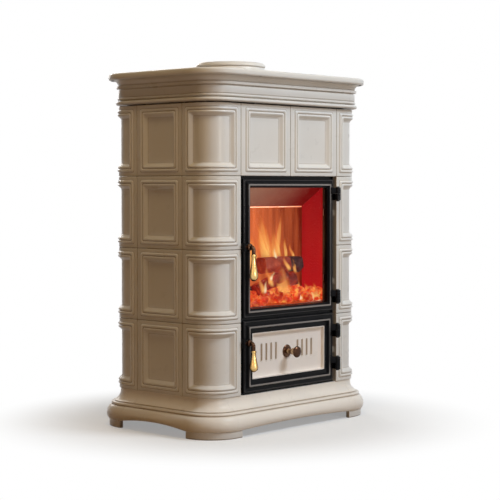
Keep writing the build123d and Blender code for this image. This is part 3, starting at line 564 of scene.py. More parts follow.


# a paler copy of the tile glaze, painted light for the plinth's upward faces
plinth_lit_glaze = glaze(
    "plinth_lit_glaze", (0.93, 0.88, 0.81, 1), (0.40, 0.29, 0.18, 1), (0.95, 0.92, 0.87, 1)
)
plinth_profile = eased(
    outline(
        (-40, tiles_foot),
        (
            ((0, tiles_foot),),
            ((1.5, tiles_foot - 19), (20, tiles_foot - 38)),
            ((17, tiles_foot - 38.5),),
            ((17, tiles_foot - 40),),
            ((24, tiles_foot - 40.5),),
            ((27.6, tiles_foot - 43), (28, tiles_foot - 47.5)),
            ((24.5, tiles_foot - 48),),
            ((24.5, tiles_foot - 50),),
            ((29.5, tiles_foot - 50.5),),
            ((42.9, tiles_foot - 74), (38, foot_height)),
            ((18, foot_height),),
            ((18, tiles_foot - 60),),
            ((-40, tiles_foot - 20),),
        ),
        12,
    ),
    1.4,
)
plinth_pool_shade = groove_pool_shade(plinth_profile, (tiles_foot - 39, tiles_foot - 49))
walls = {"front": (0, -1), "left": (-1, 0), "right": (1, 0), "back": (0, 1)}

for wall_name, outward in walls.items():
    half, lift = front_arch if outward[1] else side_arch

    def arch(x, y, z, lengthwise=abs(outward[1]), half=half, lift=lift):
        spot = x if lengthwise else y
        rise = lift * max(0.0, 1 - (spot / half) ** 2)
        fade = max(0.0, 1 - (z - foot_height) / arch_fade)
        return (x, y, z + rise * fade)

    sweep_profile(
        f"plinth_moulding_{wall_name}",
        wall_stations(outward, 28),
        plinth_profile,
        plinth_lit_glaze,
        [f"plinth_{wall_name}"],
        "glazed_moulding",
        shape=arch,
        tone_mask=plinth_pool_shade,
    )

for spot, (cx, cy, start_angle) in corner_spots.items():
    sweep_profile(
        f"plinth_corner_{spot}",
        turn_stations(cx, cy, start_angle, 18),
        plinth_profile,
        plinth_lit_glaze,
        ["plinth_corners"],
        "glazed_moulding",
        tone_mask=plinth_pool_shade,
    )

# ------------------------------------------------------------------ feet
# Four curved feet of glazed stoneware under the corners of the plinth, rounded at their lower
# edges; their lowest few millimetres are coloured dark brown and the rest a touch darker.

foot_inner, foot_outer = 22, 35
dark_band_height = 3
foot_profile = eased(
    [(foot_inner, 0), (foot_outer, 0), (foot_outer, foot_height), (foot_inner, foot_height)], 4, 5
)
# how far each foot runs on before and after its quarter turn
foot_wings = {
    "front_left": (8, 25),
    "front_right": (25, 8),
    "back_right": (8, 25),
    "back_left": (25, 8),
}
for spot, (cx, cy, start_angle) in corner_spots.items():
    sweep_profile(
        f"corner_foot_{spot}",
        turn_stations(cx, cy, start_angle, 16, wings=foot_wings[spot]),
        foot_profile,
        ivory_glaze,
        ["corner_feet"],
        "glazed_moulding",
        # the lowest 3 mm take the dark groove colour, the rest a little of it
        tone_mask=[0.9 if z < dark_band_height else 0.1 for _, z in foot_profile],
    )

# ------------------------------------------------------------------ cornice
# Glazed stoneware lengths on top of the tiles, a little forward: two beads, a plain frieze, a
# small fillet and a cove that carries the slab. The grooves between are darkest, partly pooled
# glaze and partly painted shade.

slab_low, slab_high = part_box("top_slab")
cornice_top = round(slab_low.z / MM)
cornice_forward = 5
cornice_profile = eased(
    outline(
        (-30, tiles_top + 1.4),
        (
            ((4, tiles_top + 1.4),),
            ((14.6, tiles_top + 6), (6, tiles_top + 11)),
            ((2.5, tiles_top + 12),),
            ((2.5, tiles_top + 14.5),),
            ((8, tiles_top + 15),),
            ((9.8, tiles_top + 18.5), (8, tiles_top + 22)),
            ((6, tiles_top + 22.6),),
            ((6, tiles_top + 24),),
            ((7.2, tiles_top + 24.5),),
            ((7, tiles_top + 46),),
            ((3, tiles_top + 46.4),),
            ((3, tiles_top + 49.4),),
            ((12, tiles_top + 50),),
            ((13, tiles_top + 58),),
            ((7, tiles_top + 59.5),),
            ((12, tiles_top + 70), (30, cornice_top)),
            ((-30, cornice_top),),
        ),
        12,
    ),
    1.0,
)
# the quirks are painted darker, partly pooled glaze and partly painted shade
cornice_pool_shade = groove_pool_shade(
    cornice_profile,
    (tiles_top + 1, tiles_top + 13.2, tiles_top + 23.2, tiles_top + 48, tiles_top + 60),
)
for wall_name, outward in walls.items():
    sweep_profile(
        f"cornice_moulding_{wall_name}",
        wall_stations(outward, 12, cornice_forward),
        cornice_profile,
        ivory_glaze,
        [f"cornice_{wall_name}"],
        "glazed_moulding",
        tone_mask=cornice_pool_shade,
    )
for spot, (cx, cy, start_angle) in corner_spots.items():
    sweep_profile(
        f"cornice_corner_{spot}",
        turn_stations(cx, cy, start_angle, 18, cornice_forward),
        cornice_profile,
        ivory_glaze,
        ["cornice_corners"],
        "glazed_moulding",
        tone_mask=cornice_pool_shade,
    )

# ------------------------------------------------------------------ top slab
# One glazed slab with a bull-nosed edge and a hole for the flue. It lies loose on the cornice
# and reaches a little over the cove.

flue_low, flue_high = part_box("flue_spigot")
flue_y = (flue_low.y + flue_high.y) / 2 / MM
slab_edge = 37
nose_round = 7
nose_steps = 6
slab_top = slab_high.z / MM
slab_bottom = slab_low.z / MM
slab_middle_y = (slab_low.y + slab_high.y) / 2 / MM
slab_hole = 78.1


def slab_ring(inset, z):
    """One ring of the slab's edge at a height."""
    ring = rounded_ring(
        2 * (wall_x + slab_edge - inset),
        2 * (wall_y + slab_edge - inset),
        corner_radius + slab_edge - inset,
        24,
        14,
        20,
    )
    return [(x, y + slab_middle_y, z) for x, y in ring]


def hole_ring(z):
    """The flue hole, with a point under each point of the slab's edge."""
    ring = []
    for x, y, _ in slab_ring(0, z):
        out = Vector((x, y - flue_y)).normalized() * slab_hole
        ring.append((out.x, flue_y + out.y, z))
    return ring


def hoop(rings):
    """Verts and faces of a closed hoop: rings of the same count, the last joined to the first."""
    count = len(rings[0])
    faces = []
    for index in range(len(rings)):
        faces += ring_faces(count, index * count, (index + 1) % len(rings) * count)
    return [spot for ring in rings for spot in ring], faces


slab_rings = [hole_ring(slab_bottom)]
for step in range(nose_steps + 1):
    angle = math.radians(90 - 90 * step / nose_steps)
    inset = nose_round * (1 - math.cos(angle))
    slab_rings.append(slab_ring(inset, slab_bottom + nose_round * (1 - math.sin(angle))))
for step in range(nose_steps + 1):
    angle = math.radians(90 * step / nose_steps)
    inset = nose_round * (1 - math.cos(angle))
    slab_rings.append(slab_ring(inset, slab_top - nose_round * (1 - math.sin(angle))))
slab_rings.append(hole_ring(slab_top))
slab_verts, slab_faces = hoop(slab_rings)
make_piece(
    "slab",
    slab_verts,
    slab_faces,
    ivory_glaze,
    "stove",
    ["top_slab"],
    "glazed_moulding",
    sharp=45,
    tone_mask=[0.0] * len(slab_verts),
)

# ------------------------------------------------------------------ flue rosette and spigot
# A turned collar of glazed stoneware hides the joint between the slab and the flue pipe. The
# spigot inside it is rolled from steel sheet and painted with heat-proof black.


def turned(name, profile, origin, axis, finish, body, nodes=(), slot=None, steps=72, tone_mask=None):
    """A body of revolution: (along the axis, radius) points turned about an axis."""
    out = Vector(axis).normalized()
    side = out.orthogonal().normalized()
    other = out.cross(side)
    verts, faces = [], []
    count = len(profile)
    for step in range(steps):
        angle = 2 * math.pi * step / steps
        spoke = side * math.cos(angle) + other * math.sin(angle)
        for along, radius in profile:
            verts.append(tuple(Vector(origin) + out * along + spoke * radius))
    for step in range(steps):
        faces += [
            (step * count + i, step * count + j, nxt * count + j, nxt * count + i)
            for nxt in ((step + 1) % steps,)
            for i, j in ((k, (k + 1) % count) for k in range(count))
        ]
    pools = None if tone_mask is None else tone_mask * steps
    return make_piece(name, verts, faces, finish, body, nodes, slot, sharp=35, tone_mask=pools)


rosette_low, rosette_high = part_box("flue_rosette")
rosette_top = (rosette_high.z - rosette_low.z) / MM
rosette_profile = eased(
    outline(
        (0, 78),
        (
            ((0, 128),),
            ((5, 128),),
            ((10, 123), (12, 116)),
            ((14, 117),),
            ((20, 113), (28, 110)),
            ((30, 108),),
            ((34, 112), (40, 109)),
            ((43.5, 106), (rosette_top, 101)),
            ((rosette_top, 88),),
            ((rosette_top - 3, 83), (rosette_top - 7, 78)),
        ),
        6,
    ),
    1.2,
)
turned(
    "rosette",
    rosette_profile,
    (0, flue_y, rosette_low.z / MM),
    (0, 0, 1),
    ivory_glaze,
    "stove",
    ["flue_rosette"],
    "glazed_moulding",
    96,
    # its two grooves are painted darker, partly pooled glaze and partly painted shade
    [0.8 if 12 < along < 14 or 29 < along < 31 else 0.0 for along, _ in rosette_profile],
)

# grain of sand-cast or painted metal, with a soft bloom in its shine
grain_effect, grain_in, grain_out = new_effect(
    "metal_grain",
    (("Dark", COLOUR), ("Light", COLOUR), ("Shine", VALUE)),
    (("Color", COLOUR), ("Roughness", VALUE), ("Height", VALUE)),
)
grain_effect.links.new(
    blend_colours(
        grain_effect,
        mottle(grain_effect, 40, 5, 0, 1),
        grain_in.outputs["Dark"],
        grain_in.outputs["Light"],
    ),
    grain_out.inputs["Color"],
)
grain_effect.links.new(
    sum_up(
        grain_effect, "ADD", grain_in.outputs["Shine"], mottle(grain_effect, 12, 3, -0.05, 0.08)
    ),
    grain_out.inputs["Roughness"],
)
grain_effect.links.new(mottle(grain_effect, 700, 3, 0, 1), grain_out.inputs["Height"])


def metal(name, dark, light, shine, bump, grain_m=0.0004, **values):
    """A metal or a paint on metal, with its casting or rolling grain."""
    finish, tree, shader = new_finish(name, **values)
    effect = use_effect(tree, grain_effect, {"Dark": dark, "Light": light, "Shine": shine})
    tree.links.new(effect.outputs["Color"], shader.inputs["Base Color"])
    tree.links.new(effect.outputs["Roughness"], shader.inputs["Roughness"])
    add_bump(tree, shader, effect.outputs["Height"], bump, grain_m)
    return finish


def dress(node, finish):
    """Give a CAD node that stays as it is its real finish."""
    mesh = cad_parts[node].data
    mesh.materials.clear()
    mesh.materials.append(finish)


black_paint = metal("heatproof_paint", (0.022, 0.022, 0.024, 1), (0.035, 0.034, 0.035, 1), 0.5, 0.3)
dress("flue_spigot", black_paint)

# ------------------------------------------------------------------ steel carcass
# Base plate, four bent corner posts that the tiles clip to, a flat back panel, and the welded
# stove body with its shelf, roof, door throats and pan runners, all in black paint.

for node in (
    "base_plate",
    "corner_posts",
    "back_panel",
    "body_floor",
    "body_side_walls",
    "body_rear_wall",
    "body_front_wall",
    "body_shelf",
    "body_roof",
    "door_throats",
    "pan_runners",
):
    dress(node, black_paint)

rivet_paint = metal("rivet_paint", (0.03, 0.03, 0.032, 1), (0.045, 0.044, 0.045, 1), 0.42, 0.2)
back_low, back_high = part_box("back_panel")
rivet_profile = [(0, 0), (0, 5), (1.2, 4.6), (2.4, 3.2), (3, 1.4), (3, 0)]
rivet_half = 212
rivet_start, rivet_pitch, rivet_rows = 40, 200, 5
for column, rivet_x in enumerate((-rivet_half, rivet_half)):
    for level in range(rivet_rows):
        rivet_z = back_low.z / MM + rivet_start + level * rivet_pitch
        turned(
            f"back_rivet_{column + 1}_{level + 1}",
            rivet_profile,
            (rivet_x, back_high.y / MM - 0.2, rivet_z),
            (0, 1, 0),
            rivet_paint,
            "stove",
            slot="painted_steel",
            steps=20,
        )

# ------------------------------------------------------------------ fireclay lining
# Pressed fireclay slabs stand round the fire and a sloping baffle lies over it. The fire's light on
# them is painted in as a glow: deep red at the side, orange behind the flames, dull brown-red under
# the baffle, fading to painted shade away from the fire.

glow_effect, glow_in, glow_out = new_effect(
    "painted_firelight",
    (
        ("Near", COLOUR),
        ("Far", COLOUR),
        ("Heart X", VALUE),
        ("Heart Z", VALUE),
        ("Reach", VALUE),
        ("Streaks", VALUE),
    ),
    (("Glow", COLOUR),),
)
glow_place = glow_effect.nodes.new("ShaderNodeTexCoord")
glow_split = glow_effect.nodes.new("ShaderNodeSeparateXYZ")
glow_effect.links.new(glow_place.outputs["Object"], glow_split.inputs["Vector"])
off_x = sum_up(glow_effect, "SUBTRACT", glow_split.outputs["X"], glow_in.outputs["Heart X"])
off_z = sum_up(glow_effect, "SUBTRACT", glow_split.outputs["Z"], glow_in.outputs["Heart Z"])
distance = sum_up(
    glow_effect,
    "SQRT",
    sum_up(
        glow_effect,
        "ADD",
        sum_up(glow_effect, "MULTIPLY", off_x, off_x),
        sum_up(glow_effect, "MULTIPLY", off_z, off_z),
    ),
    0.0,
)
wander = sum_up(
    glow_effect,
    "MULTIPLY",
    mottle(glow_effect, 1, 4, -1, 1, stretch=(45, 45, 5)),
    glow_in.outputs["Streaks"],
)
glow_effect.links.new(
    blend_colours(
        glow_effect,
        sum_up(
            glow_effect,
            "ADD",
            sum_up(glow_effect, "DIVIDE", distance, glow_in.outputs["Reach"]),
            wander,
        ),
        glow_in.outputs["Near"],
        glow_in.outputs["Far"],
    ),
    glow_out.inputs["Glow"],
)


def fireclay(name, clay, near, far, heart, reach, streaks=0.1):
    """Sooty fireclay with the fire's light painted on as a glow from a heart at (x, z) in metres."""
    finish, tree, shader = new_finish(
        name, roughness=0.9, specular_ior_level=0.15, emission_strength=1.0
    )
    glow = {"Near": near, "Far": far, "Reach": reach, "Streaks": streaks}
    glow["Heart X"], glow["Heart Z"] = heart
    effect = use_effect(tree, glow_effect, glow)
    tree.links.new(effect.outputs["Glow"], shader.inputs["Emission Color"])
    soot = blend_colours(tree, mottle(tree, 9, 5, 0, 1), clay, (0.02, 0.010, 0.008, 1))
    tree.links.new(soot, shader.inputs["Base Color"])
    add_bump(tree, shader, mottle(tree, 160, 5, 0, 1), 0.5, 0.0015)
    return finish


clay_red = (0.05, 0.018, 0.010, 1)
dress(
    "liner_back",
    fireclay(
        "back_clay",
        clay_red,
        (0.90, 0.20, 0.06, 1),
        (0.14, 0.008, 0.003, 1),
        (-0.08, 0.56),
        0.36,
        0.2,
    ),
)
side_clay = fireclay(
    "side_clay", clay_red, (0.42, 0.006, 0.009, 1), (0.24, 0.002, 0.006, 1), (0.26, 0.40), 0.4, 0.12
)
dress("liner_right", side_clay)
dress("liner_left", side_clay)
dress(
    "baffle_plate",
    fireclay(
        "baffle_clay",
        clay_red,
        (0.25, 0.125, 0.085, 1),
        (0.14, 0.002, 0.003, 1),
        (-0.06, 0.72),
        0.28,
        0.06,
    ),
)
dress(
    "hearth_slab",
    fireclay(
        "hearth_clay", clay_red, (0.5, 0.06, 0.015, 1), (0.02, 0.002, 0.001, 1), (0.05, 0.38), 0.25
    ),
)
dress(
    "storage_blocks",
    fireclay(
        "block_clay",
        (0.36, 0.24, 0.16, 1),
        (0.004, 0.001, 0.0, 1),
        (0.0, 0.0, 0.0, 1),
        (0.0, 0.4),
        0.3,
    ),
)

# a thin strip along the lower edge of the baffle glows as a painted highlight of the flames
liner_low, liner_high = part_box("liner_back")
edge_finish, edge_tree, edge_shader = new_finish(
    "painted_edge_highlight", roughness=0.9, emission_strength=1.0
)
edge_tree.links.new(
    blend_colours(
        edge_tree,
        mottle(edge_tree, 14, 3, 0, 1),
        (1.0, 0.33, 0.10, 1),
        (0.75, 0.14, 0.03, 1),
    ),
    edge_shader.inputs["Emission Color"],
)
edge_front = liner_low.y / MM
edge_z = liner_high.z / MM
edge_half, edge_step = 250, 50
edge_places = range(-edge_half, edge_half + 1, edge_step)
sweep_profile(
    "baffle_edge_highlight",
    [((x, edge_front), (0, -1)) for x in edge_places],
    eased([(0.1, edge_z - 4), (2.6, edge_z - 4), (2.6, edge_z - 0.4), (0.1, edge_z - 0.4)], 1),
    edge_finish,
    (),
    "fireclay",
)

# ------------------------------------------------------------------ grate and ash pan
# A flat cast-iron grate let into the hearth slab, over a pan folded from thin steel that slides
# on two runners in the ash pit.

cast_iron = metal(
    "cast_iron", (0.002, 0.002, 0.003, 1), (0.005, 0.005, 0.007, 1), 0.2, 0.12, specular_ior_level=0.10
)
pan_steel = metal(
    "pan_steel", (0.30, 0.29, 0.28, 1), (0.44, 0.43, 0.42, 1), 0.42, 0.15, metallic=1.0
)
dress("fire_grate", cast_iron)
dress("ash_pan", pan_steel)

# ------------------------------------------------------------------ embers
# A bed of broken charcoal on the hearth, heaped to the right of its middle. It glows red, with
# dark skins and bright orange cracks.

hearth_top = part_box("hearth_slab")[1].z / MM

ember_effect, ember_in, ember_out = new_effect(
    "ember_heat",
    (("Char", COLOUR), ("Red", COLOUR), ("White", COLOUR), ("Heat", VALUE)),
    (("Color", COLOUR), ("Glow", COLOUR), ("Height", VALUE)),
)
coal_spots = mottle(ember_effect, 38, 5, 0, 1)
hot_cracks = mottle(ember_effect, 75, 4, 0, 1)
ember_heat = sum_up(
    ember_effect,
    "ADD",
    sum_up(ember_effect, "MULTIPLY", coal_spots, 0.75),
    ember_in.outputs["Heat"],
)
red_part = blend_colours(
    ember_effect, ember_heat, ember_in.outputs["Char"], ember_in.outputs["Red"]
)
white_part = sum_up(
    ember_effect,
    "MULTIPLY",
    sum_up(ember_effect, "MULTIPLY", ember_heat, ember_heat),
    sum_up(ember_effect, "POWER", hot_cracks, 2.4),
)
ember_effect.links.new(
    blend_colours(ember_effect, white_part, red_part, ember_in.outputs["White"]),
    ember_out.inputs["Glow"],
)
ember_effect.links.new(
    blend_colours(ember_effect, coal_spots, (0.006, 0.004, 0.004, 1), (0.025, 0.014, 0.010, 1)),
    ember_out.inputs["Color"],
)
ember_effect.links.new(hot_cracks, ember_out.inputs["Height"])


def charcoal(name, char, red, white, heat):
    """Burning wood: char with glowing cracks."""
    finish, tree, shader = new_finish(name, roughness=0.85, emission_strength=1.0)
    effect = use_effect(
        tree, ember_effect, {"Char": char, "Red": red, "White": white, "Heat": heat}
    )
    tree.links.new(effect.outputs["Color"], shader.inputs["Base Color"])
    tree.links.new(effect.outputs["Glow"], shader.inputs["Emission Color"])
    add_bump(tree, shader, effect.outputs["Height"], 0.6, 0.002)
    return finish


ember_finish = charcoal(
    "embers", (0.12, 0.003, 0.002, 1), (0.88, 0.030, 0.008, 1), (1.0, 0.60, 0.12, 1), 0.30
)
ember_rng = random.Random(7)
ember_count = 300
ember_low_x, ember_high_x = -215, 235
ember_low_y, ember_high_y = -176, -66
heap_x, heap_reach = 60, 330
heap_low, heap_high = 2, 62
coal_low, coal_high = 7, 18


def lump(verts, faces, centre, size, rng):
    """Adds one broken coal: a rough ball squeezed and cut by noise."""
    ball = bmesh.new()
    bmesh.ops.create_icosphere(ball, subdivisions=2, radius=1)
    shift = Vector((rng.uniform(0, 50), rng.uniform(0, 50), rng.uniform(0, 50)))
    squeeze = Vector((rng.uniform(0.7, 1.25), rng.uniform(0.7, 1.25), rng.uniform(0.55, 0.9)))
    first = len(verts)
    for vert in ball.verts:
        broken = 0.45 * noise.noise(vert.co * 1.3 + shift)
        rough = 1 + broken + 0.12 * noise.noise(vert.co * 4 + shift)
        spot = Vector((vert.co[i] * squeeze[i] * rough * size for i in range(3))) + centre
        spot.z = max(spot.z, hearth_top + 0.2)
        verts.append(tuple(spot))
    faces += [tuple(first + vert.index for vert in face.verts) for face in ball.faces]
    ball.free()


ember_verts, ember_faces = [], []
for _ in range(ember_count):
    ember_x = ember_rng.uniform(ember_low_x, ember_high_x)
    ember_y = ember_rng.uniform(ember_low_y, ember_high_y)
    heap = 1 - abs(ember_x - heap_x) / heap_reach
    ember_z = hearth_top + ember_rng.uniform(heap_low, heap_high) * heap
    coal = ember_rng.uniform(coal_low, coal_high)
    lump(ember_verts, ember_faces, Vector((ember_x, ember_y, ember_z)), coal, ember_rng)
make_piece("ember_bed", ember_verts, ember_faces, ember_finish, "stove", sharp=60)

# ------------------------------------------------------------------ logs
# Split logs in the fire. One lies across it with a black, charred end, two lean under it and
# one lies behind. Their skins are cracked and glow where they burn.

log_hot = charcoal(
    "log_hot", (0.16, 0.010, 0.006, 1), (0.36, 0.028, 0.012, 1), (0.60, 0.09, 0.02, 1), 0.0
)
log_dark = charcoal(
    "log_dark", (0.020, 0.002, 0.006, 1), (0.06, 0.004, 0.008, 1), (0.16, 0.012, 0.008, 1), -0.15
)
log_red = charcoal(
    "log_red", (0.12, 0.005, 0.004, 1), (0.38, 0.014, 0.010, 1), (0.80, 0.11, 0.02, 1), 0.0
)


def log(name, start, end, radius, finish, seed, flat):
    """One split log between two points, flat on top, with a cracked skin and rough ends."""
    rng = random.Random(seed)
    shift = Vector((rng.uniform(0, 50), rng.uniform(0, 50), rng.uniform(0, 50)))
    a, b = Vector(start), Vector(end)
    along = (b - a).normalized()
    side = along.cross(Vector((0, 0, 1))).normalized()
    up = side.cross(along)
    round_steps, long_steps = 36, 30
    verts, faces = [], []
    for ring in range(long_steps + 1):
        part = ring / long_steps
        for step in range(round_steps):
            angle = 2 * math.pi * step / round_steps
            cos, sin = math.cos(angle), math.sin(angle)
            bark = noise.noise(Vector((cos * 2, sin * 2, part * 3)) + shift)
            crack = noise.noise(Vector((cos * 7, sin * 7, part * 5)) + shift * 2)
            reach = radius * (1 + 0.10 * bark + 0.07 * crack)
            x, y = reach * cos, reach * sin
            y = min(y, flat * radius)
            end_wear = 2 * noise.noise(Vector((x, y, 0)) / 9 + shift) * (part in (0.0, 1.0))
            verts.append(tuple(a + (b - a) * part + along * end_wear + side * x + up * y))
    for ring in range(long_steps):
        faces += ring_faces(round_steps, ring * round_steps, (ring + 1) * round_steps)
    for ring, centre in ((0, a), (long_steps, b)):
        first = ring * round_steps
        middle = len(verts)
        verts.append(tuple(centre))
        for step in range(round_steps):
            faces.append((first + step, first + (step + 1) % round_steps, middle))
    return make_piece(name, verts, faces, finish, "stove", sharp=50)


log("log_across", (-20, -116, 500), (86, -128, 501), 27, log_hot, 3, 0.85)
log("log_across_end", (86.5, -128, 501), (140, -132, 500), 26.5, log_dark, 3, 0.85)
log("log_leaning", (-60, -132, 424), (56, -150, 470), 20, log_red, 5, 0.8)
log("log_under", (30, -118, 418), (118, -130, 456), 22, log_red, 9, 0.8)
log("log_back", (-150, -90, 404), (190, -76, 420), 24, log_dark, 12, 0.9)

# ------------------------------------------------------------------ flames
# Tongues of burning gas, drawn up from the logs towards the baffle, brightest along the middle
# and fading to clear orange at the foot, the edges and the tip.

flame_finish, flame_tree, flame_shader = new_finish(
    "flame", base_color=(0, 0, 0, 1), roughness=1.0, specular_ior_level=0.0, emission_strength=1.0
)
flame_core = flame_tree.nodes.new("ShaderNodeAttribute")
flame_core.attribute_name = "tone_mask"
flame_height = flame_tree.nodes.new("ShaderNodeAttribute")
flame_height.attribute_name = "height"
wisp = mottle(flame_tree, 1, 3, -0.25, 0.3, stretch=(60, 60, 9))
heat = sum_up(
    flame_tree,
    "SUBTRACT",
    sum_up(flame_tree, "ADD", flame_core.outputs["Fac"], wisp),
    sum_up(flame_tree, "MULTIPLY", flame_height.outputs["Fac"], 0.75),
)
flame_colour = blend_colours(flame_tree, heat, (1.0, 0.16, 0.02, 1), (1.0, 0.62, 0.18, 1))
flame_tree.links.new(flame_colour, flame_shader.inputs["Emission Color"])
fade = sum_up(
    flame_tree,
    "MULTIPLY",
    sum_up(flame_tree, "ADD", flame_core.outputs["Fac"], wisp),
    sum_up(flame_tree, "SUBTRACT", 1.0, flame_height.outputs["Fac"]),
)
foot_fade = flame_tree.nodes.new("ShaderNodeMapRange")
foot_fade.interpolation_type = "SMOOTHSTEP"
foot_fade.inputs["From Max"].default_value = 0.3
foot_fade.inputs["To Max"].default_value = 0.85
flame_tree.links.new(flame_height.outputs["Fac"], foot_fade.inputs["Value"])
clear = flame_tree.nodes.new("ShaderNodeMath")
clear.operation = "MULTIPLY"
clear.use_clamp = True
flame_tree.links.new(foot_fade.outputs["Result"], clear.inputs[1])
flame_tree.links.new(
    sum_up(flame_tree, "MULTIPLY", fade, flame_core.outputs["Fac"]), clear.inputs[0]
)
flame_tree.links.new(clear.outputs["Value"], flame_shader.inputs["Alpha"])


def flame(name, foot, tip, width, seed, finish):
    """One tongue of flame: a thin leaf that sways up from its foot to its tip."""
    rng = random.Random(seed)
    shift = rng.uniform(0, 40)
    rows, columns = 26, 10
    verts, faces, core = [], [], []
    low, high = Vector(foot), Vector(tip)
    for row in range(rows + 1):
        part = row / rows
        sway = noise.noise(Vector((shift, part * 2.2, 0))) * 22 * part
        middle = low + (high - low) * part + Vector((sway, sway * 0.3, 0))
        swell = math.sin(math.pi * min(1, 0.18 + part * 0.82)) ** 0.8
        half = width / 2 * swell * (1 - part * 0.35)
        for side in (1, -1):
            for column in range(columns + 1):
                across = column / columns * 2 - 1
                bulge = side * (1 - across * across) * max(half, 0.2) * 0.22
                verts.append((middle.x + across * half, middle.y - bulge, middle.z))
                core.append(max(0.0, 1 - across * across))
    band = 2 * (columns + 1)
    for row in range(rows):
        for side in (0, 1):
            for column in range(columns):
                a = row * band + side * (columns + 1) + column
                faces.append((a, a + 1, a + 1 + band, a + band)[:: 1 - 2 * side])
    piece = make_piece(name, verts, faces, finish, "stove", sharp=180, tone_mask=core)
    heights = [(vert.co.z / MM - low.z) / (high.z - low.z) for vert in piece.data.vertices]
    piece.data.attributes.new("height", "FLOAT", "POINT").data.foreach_set("value", heights)


# foot, tip and width of each tongue
flame_spots = (
    ((-60, -66, 430), (-120, -60, 675), 110),
    ((0, -66, 470), (-50, -60, 670), 100),
    ((70, -66, 500), (40, -60, 665), 90),
    ((110, -66, 505), (96, -60, 600), 50),
    ((-130, -70, 410), (-170, -64, 640), 110),
    ((40, -168, 400), (20, -164, 500), 90),
    ((180, -168, 384), (190, -164, 430), 90),
    ((-64, -84, 440), (-100, -80, 650), 44),
    ((-20, -78, 480), (-60, -74, 660), 40),
    ((30, -100, 520), (-16, -90, 636), 34),
    ((38, -96, 524), (12, -84, 600), 26),
    ((52, -84, 520), (30, -76, 640), 30),
    ((104, -90, 515), (74, -84, 612), 30),
    ((96, -84, 520), (118, -78, 668), 34),
    ((168, -92, 512), (150, -88, 566), 24),
    ((134, -88, 510), (128, -84, 590), 26),
    ((-110, -86, 440), (-150, -82, 640), 44),
    ((70, -160, 478), (44, -152, 530), 30),
    ((98, -160, 470), (92, -152, 520), 22),
    ((-16, -164, 430), (-46, -158, 500), 34),
    ((-60, -166, 410), (-76, -160, 470), 34),
    ((-34, -162, 440), (-8, -158, 486), 24),
    ((160, -156, 388), (150, -152, 440), 36),
    ((200, -150, 384), (206, -146, 440), 40),
    ((118, -160, 400), (112, -156, 450), 26),
    ((-140, -120, 400), (-160, -118, 520), 40),
)
for index, (foot, tip, width) in enumerate(flame_spots):
    flame(f"flame_{index + 1}", foot, tip, width, index + 1, flame_finish)

# short, pale yellow tongues in front of the logs and embers
hot_flame = flame_finish.copy()
hot_flame.name = "hot_flame"
for node in hot_flame.node_tree.nodes:
    if node.bl_idname == "ShaderNodeMix":
        node.inputs[6].default_value = (1.0, 0.50, 0.12, 1)
        node.inputs[7].default_value = (1.0, 0.93, 0.66, 1)
hot_spots = (
    ((160, -168, 372), (176, -164, 416), 44),
    ((206, -166, 370), (198, -162, 398), 40),
    ((-60, -172, 412), (-58, -168, 458), 20),
    ((30, -140, 512), (20, -136, 560), 18),
    ((-30, -168, 452), (-16, -164, 486), 20),
    ((112, -168, 384), (120, -164, 410), 24),
)
for index, (foot, tip, width) in enumerate(hot_spots):
    flame(f"hot_flame_{index + 1}", foot, tip, width, index + 40, hot_flame)

fire_light = bpy.data.lights.new("fire_light", "POINT")
fire_light.energy = 1.2
fire_light.color = (1.0, 0.36, 0.10)
fire_light.shadow_soft_size = 0.06
fire_lamp = bpy.data.objects.new("fire_light", fire_light)
fire_lamp.location = (0.02, -0.155, 0.55)
fire_lamp.visible_camera = False
fire_lamp.visible_glossy = False
fire_lamp.visible_transmission = False
bpy.context.scene.collection.objects.link(fire_lamp)

# ------------------------------------------------------------------ cast front frame
# One flat casting behind both doors, with four hinge arms on its right margin and two latch
# keepers on its left. It is stoved black like the doors, and its hinge pins are blackened steel.

for node in ("front_frame", "latch_keepers"):
    dress(node, cast_iron)
pin_steel = metal(
    "pin_steel", (0.02, 0.02, 0.021, 1), (0.04, 0.04, 0.042, 1), 0.3, 0.1, specular_ior_level=0.5
)
dress("hinge_pins", pin_steel)

# ------------------------------------------------------------------ doors
# Two castings that close over the frame: each has a thin edge bead, a rounded moulding between
# two small fillets round its window, and a tongue behind. Hinge knuckles stand on their straps.

door_back = -11.7
tongue_back = -16.0
tongue_inset = 16
rebate_width = 7.0
door_half = 212
hinge_x, hinge_y = 212, -wall_y - 20


def crown_highlight_at(rise, level):
    """How strong a painted highlight lies on the black: most on the crowns of level mouldings."""
    if rise > 6.3:
        return 1.0 if level else 0.3
    return 0.25 if 1.1 < rise < 1.35 else 0.0


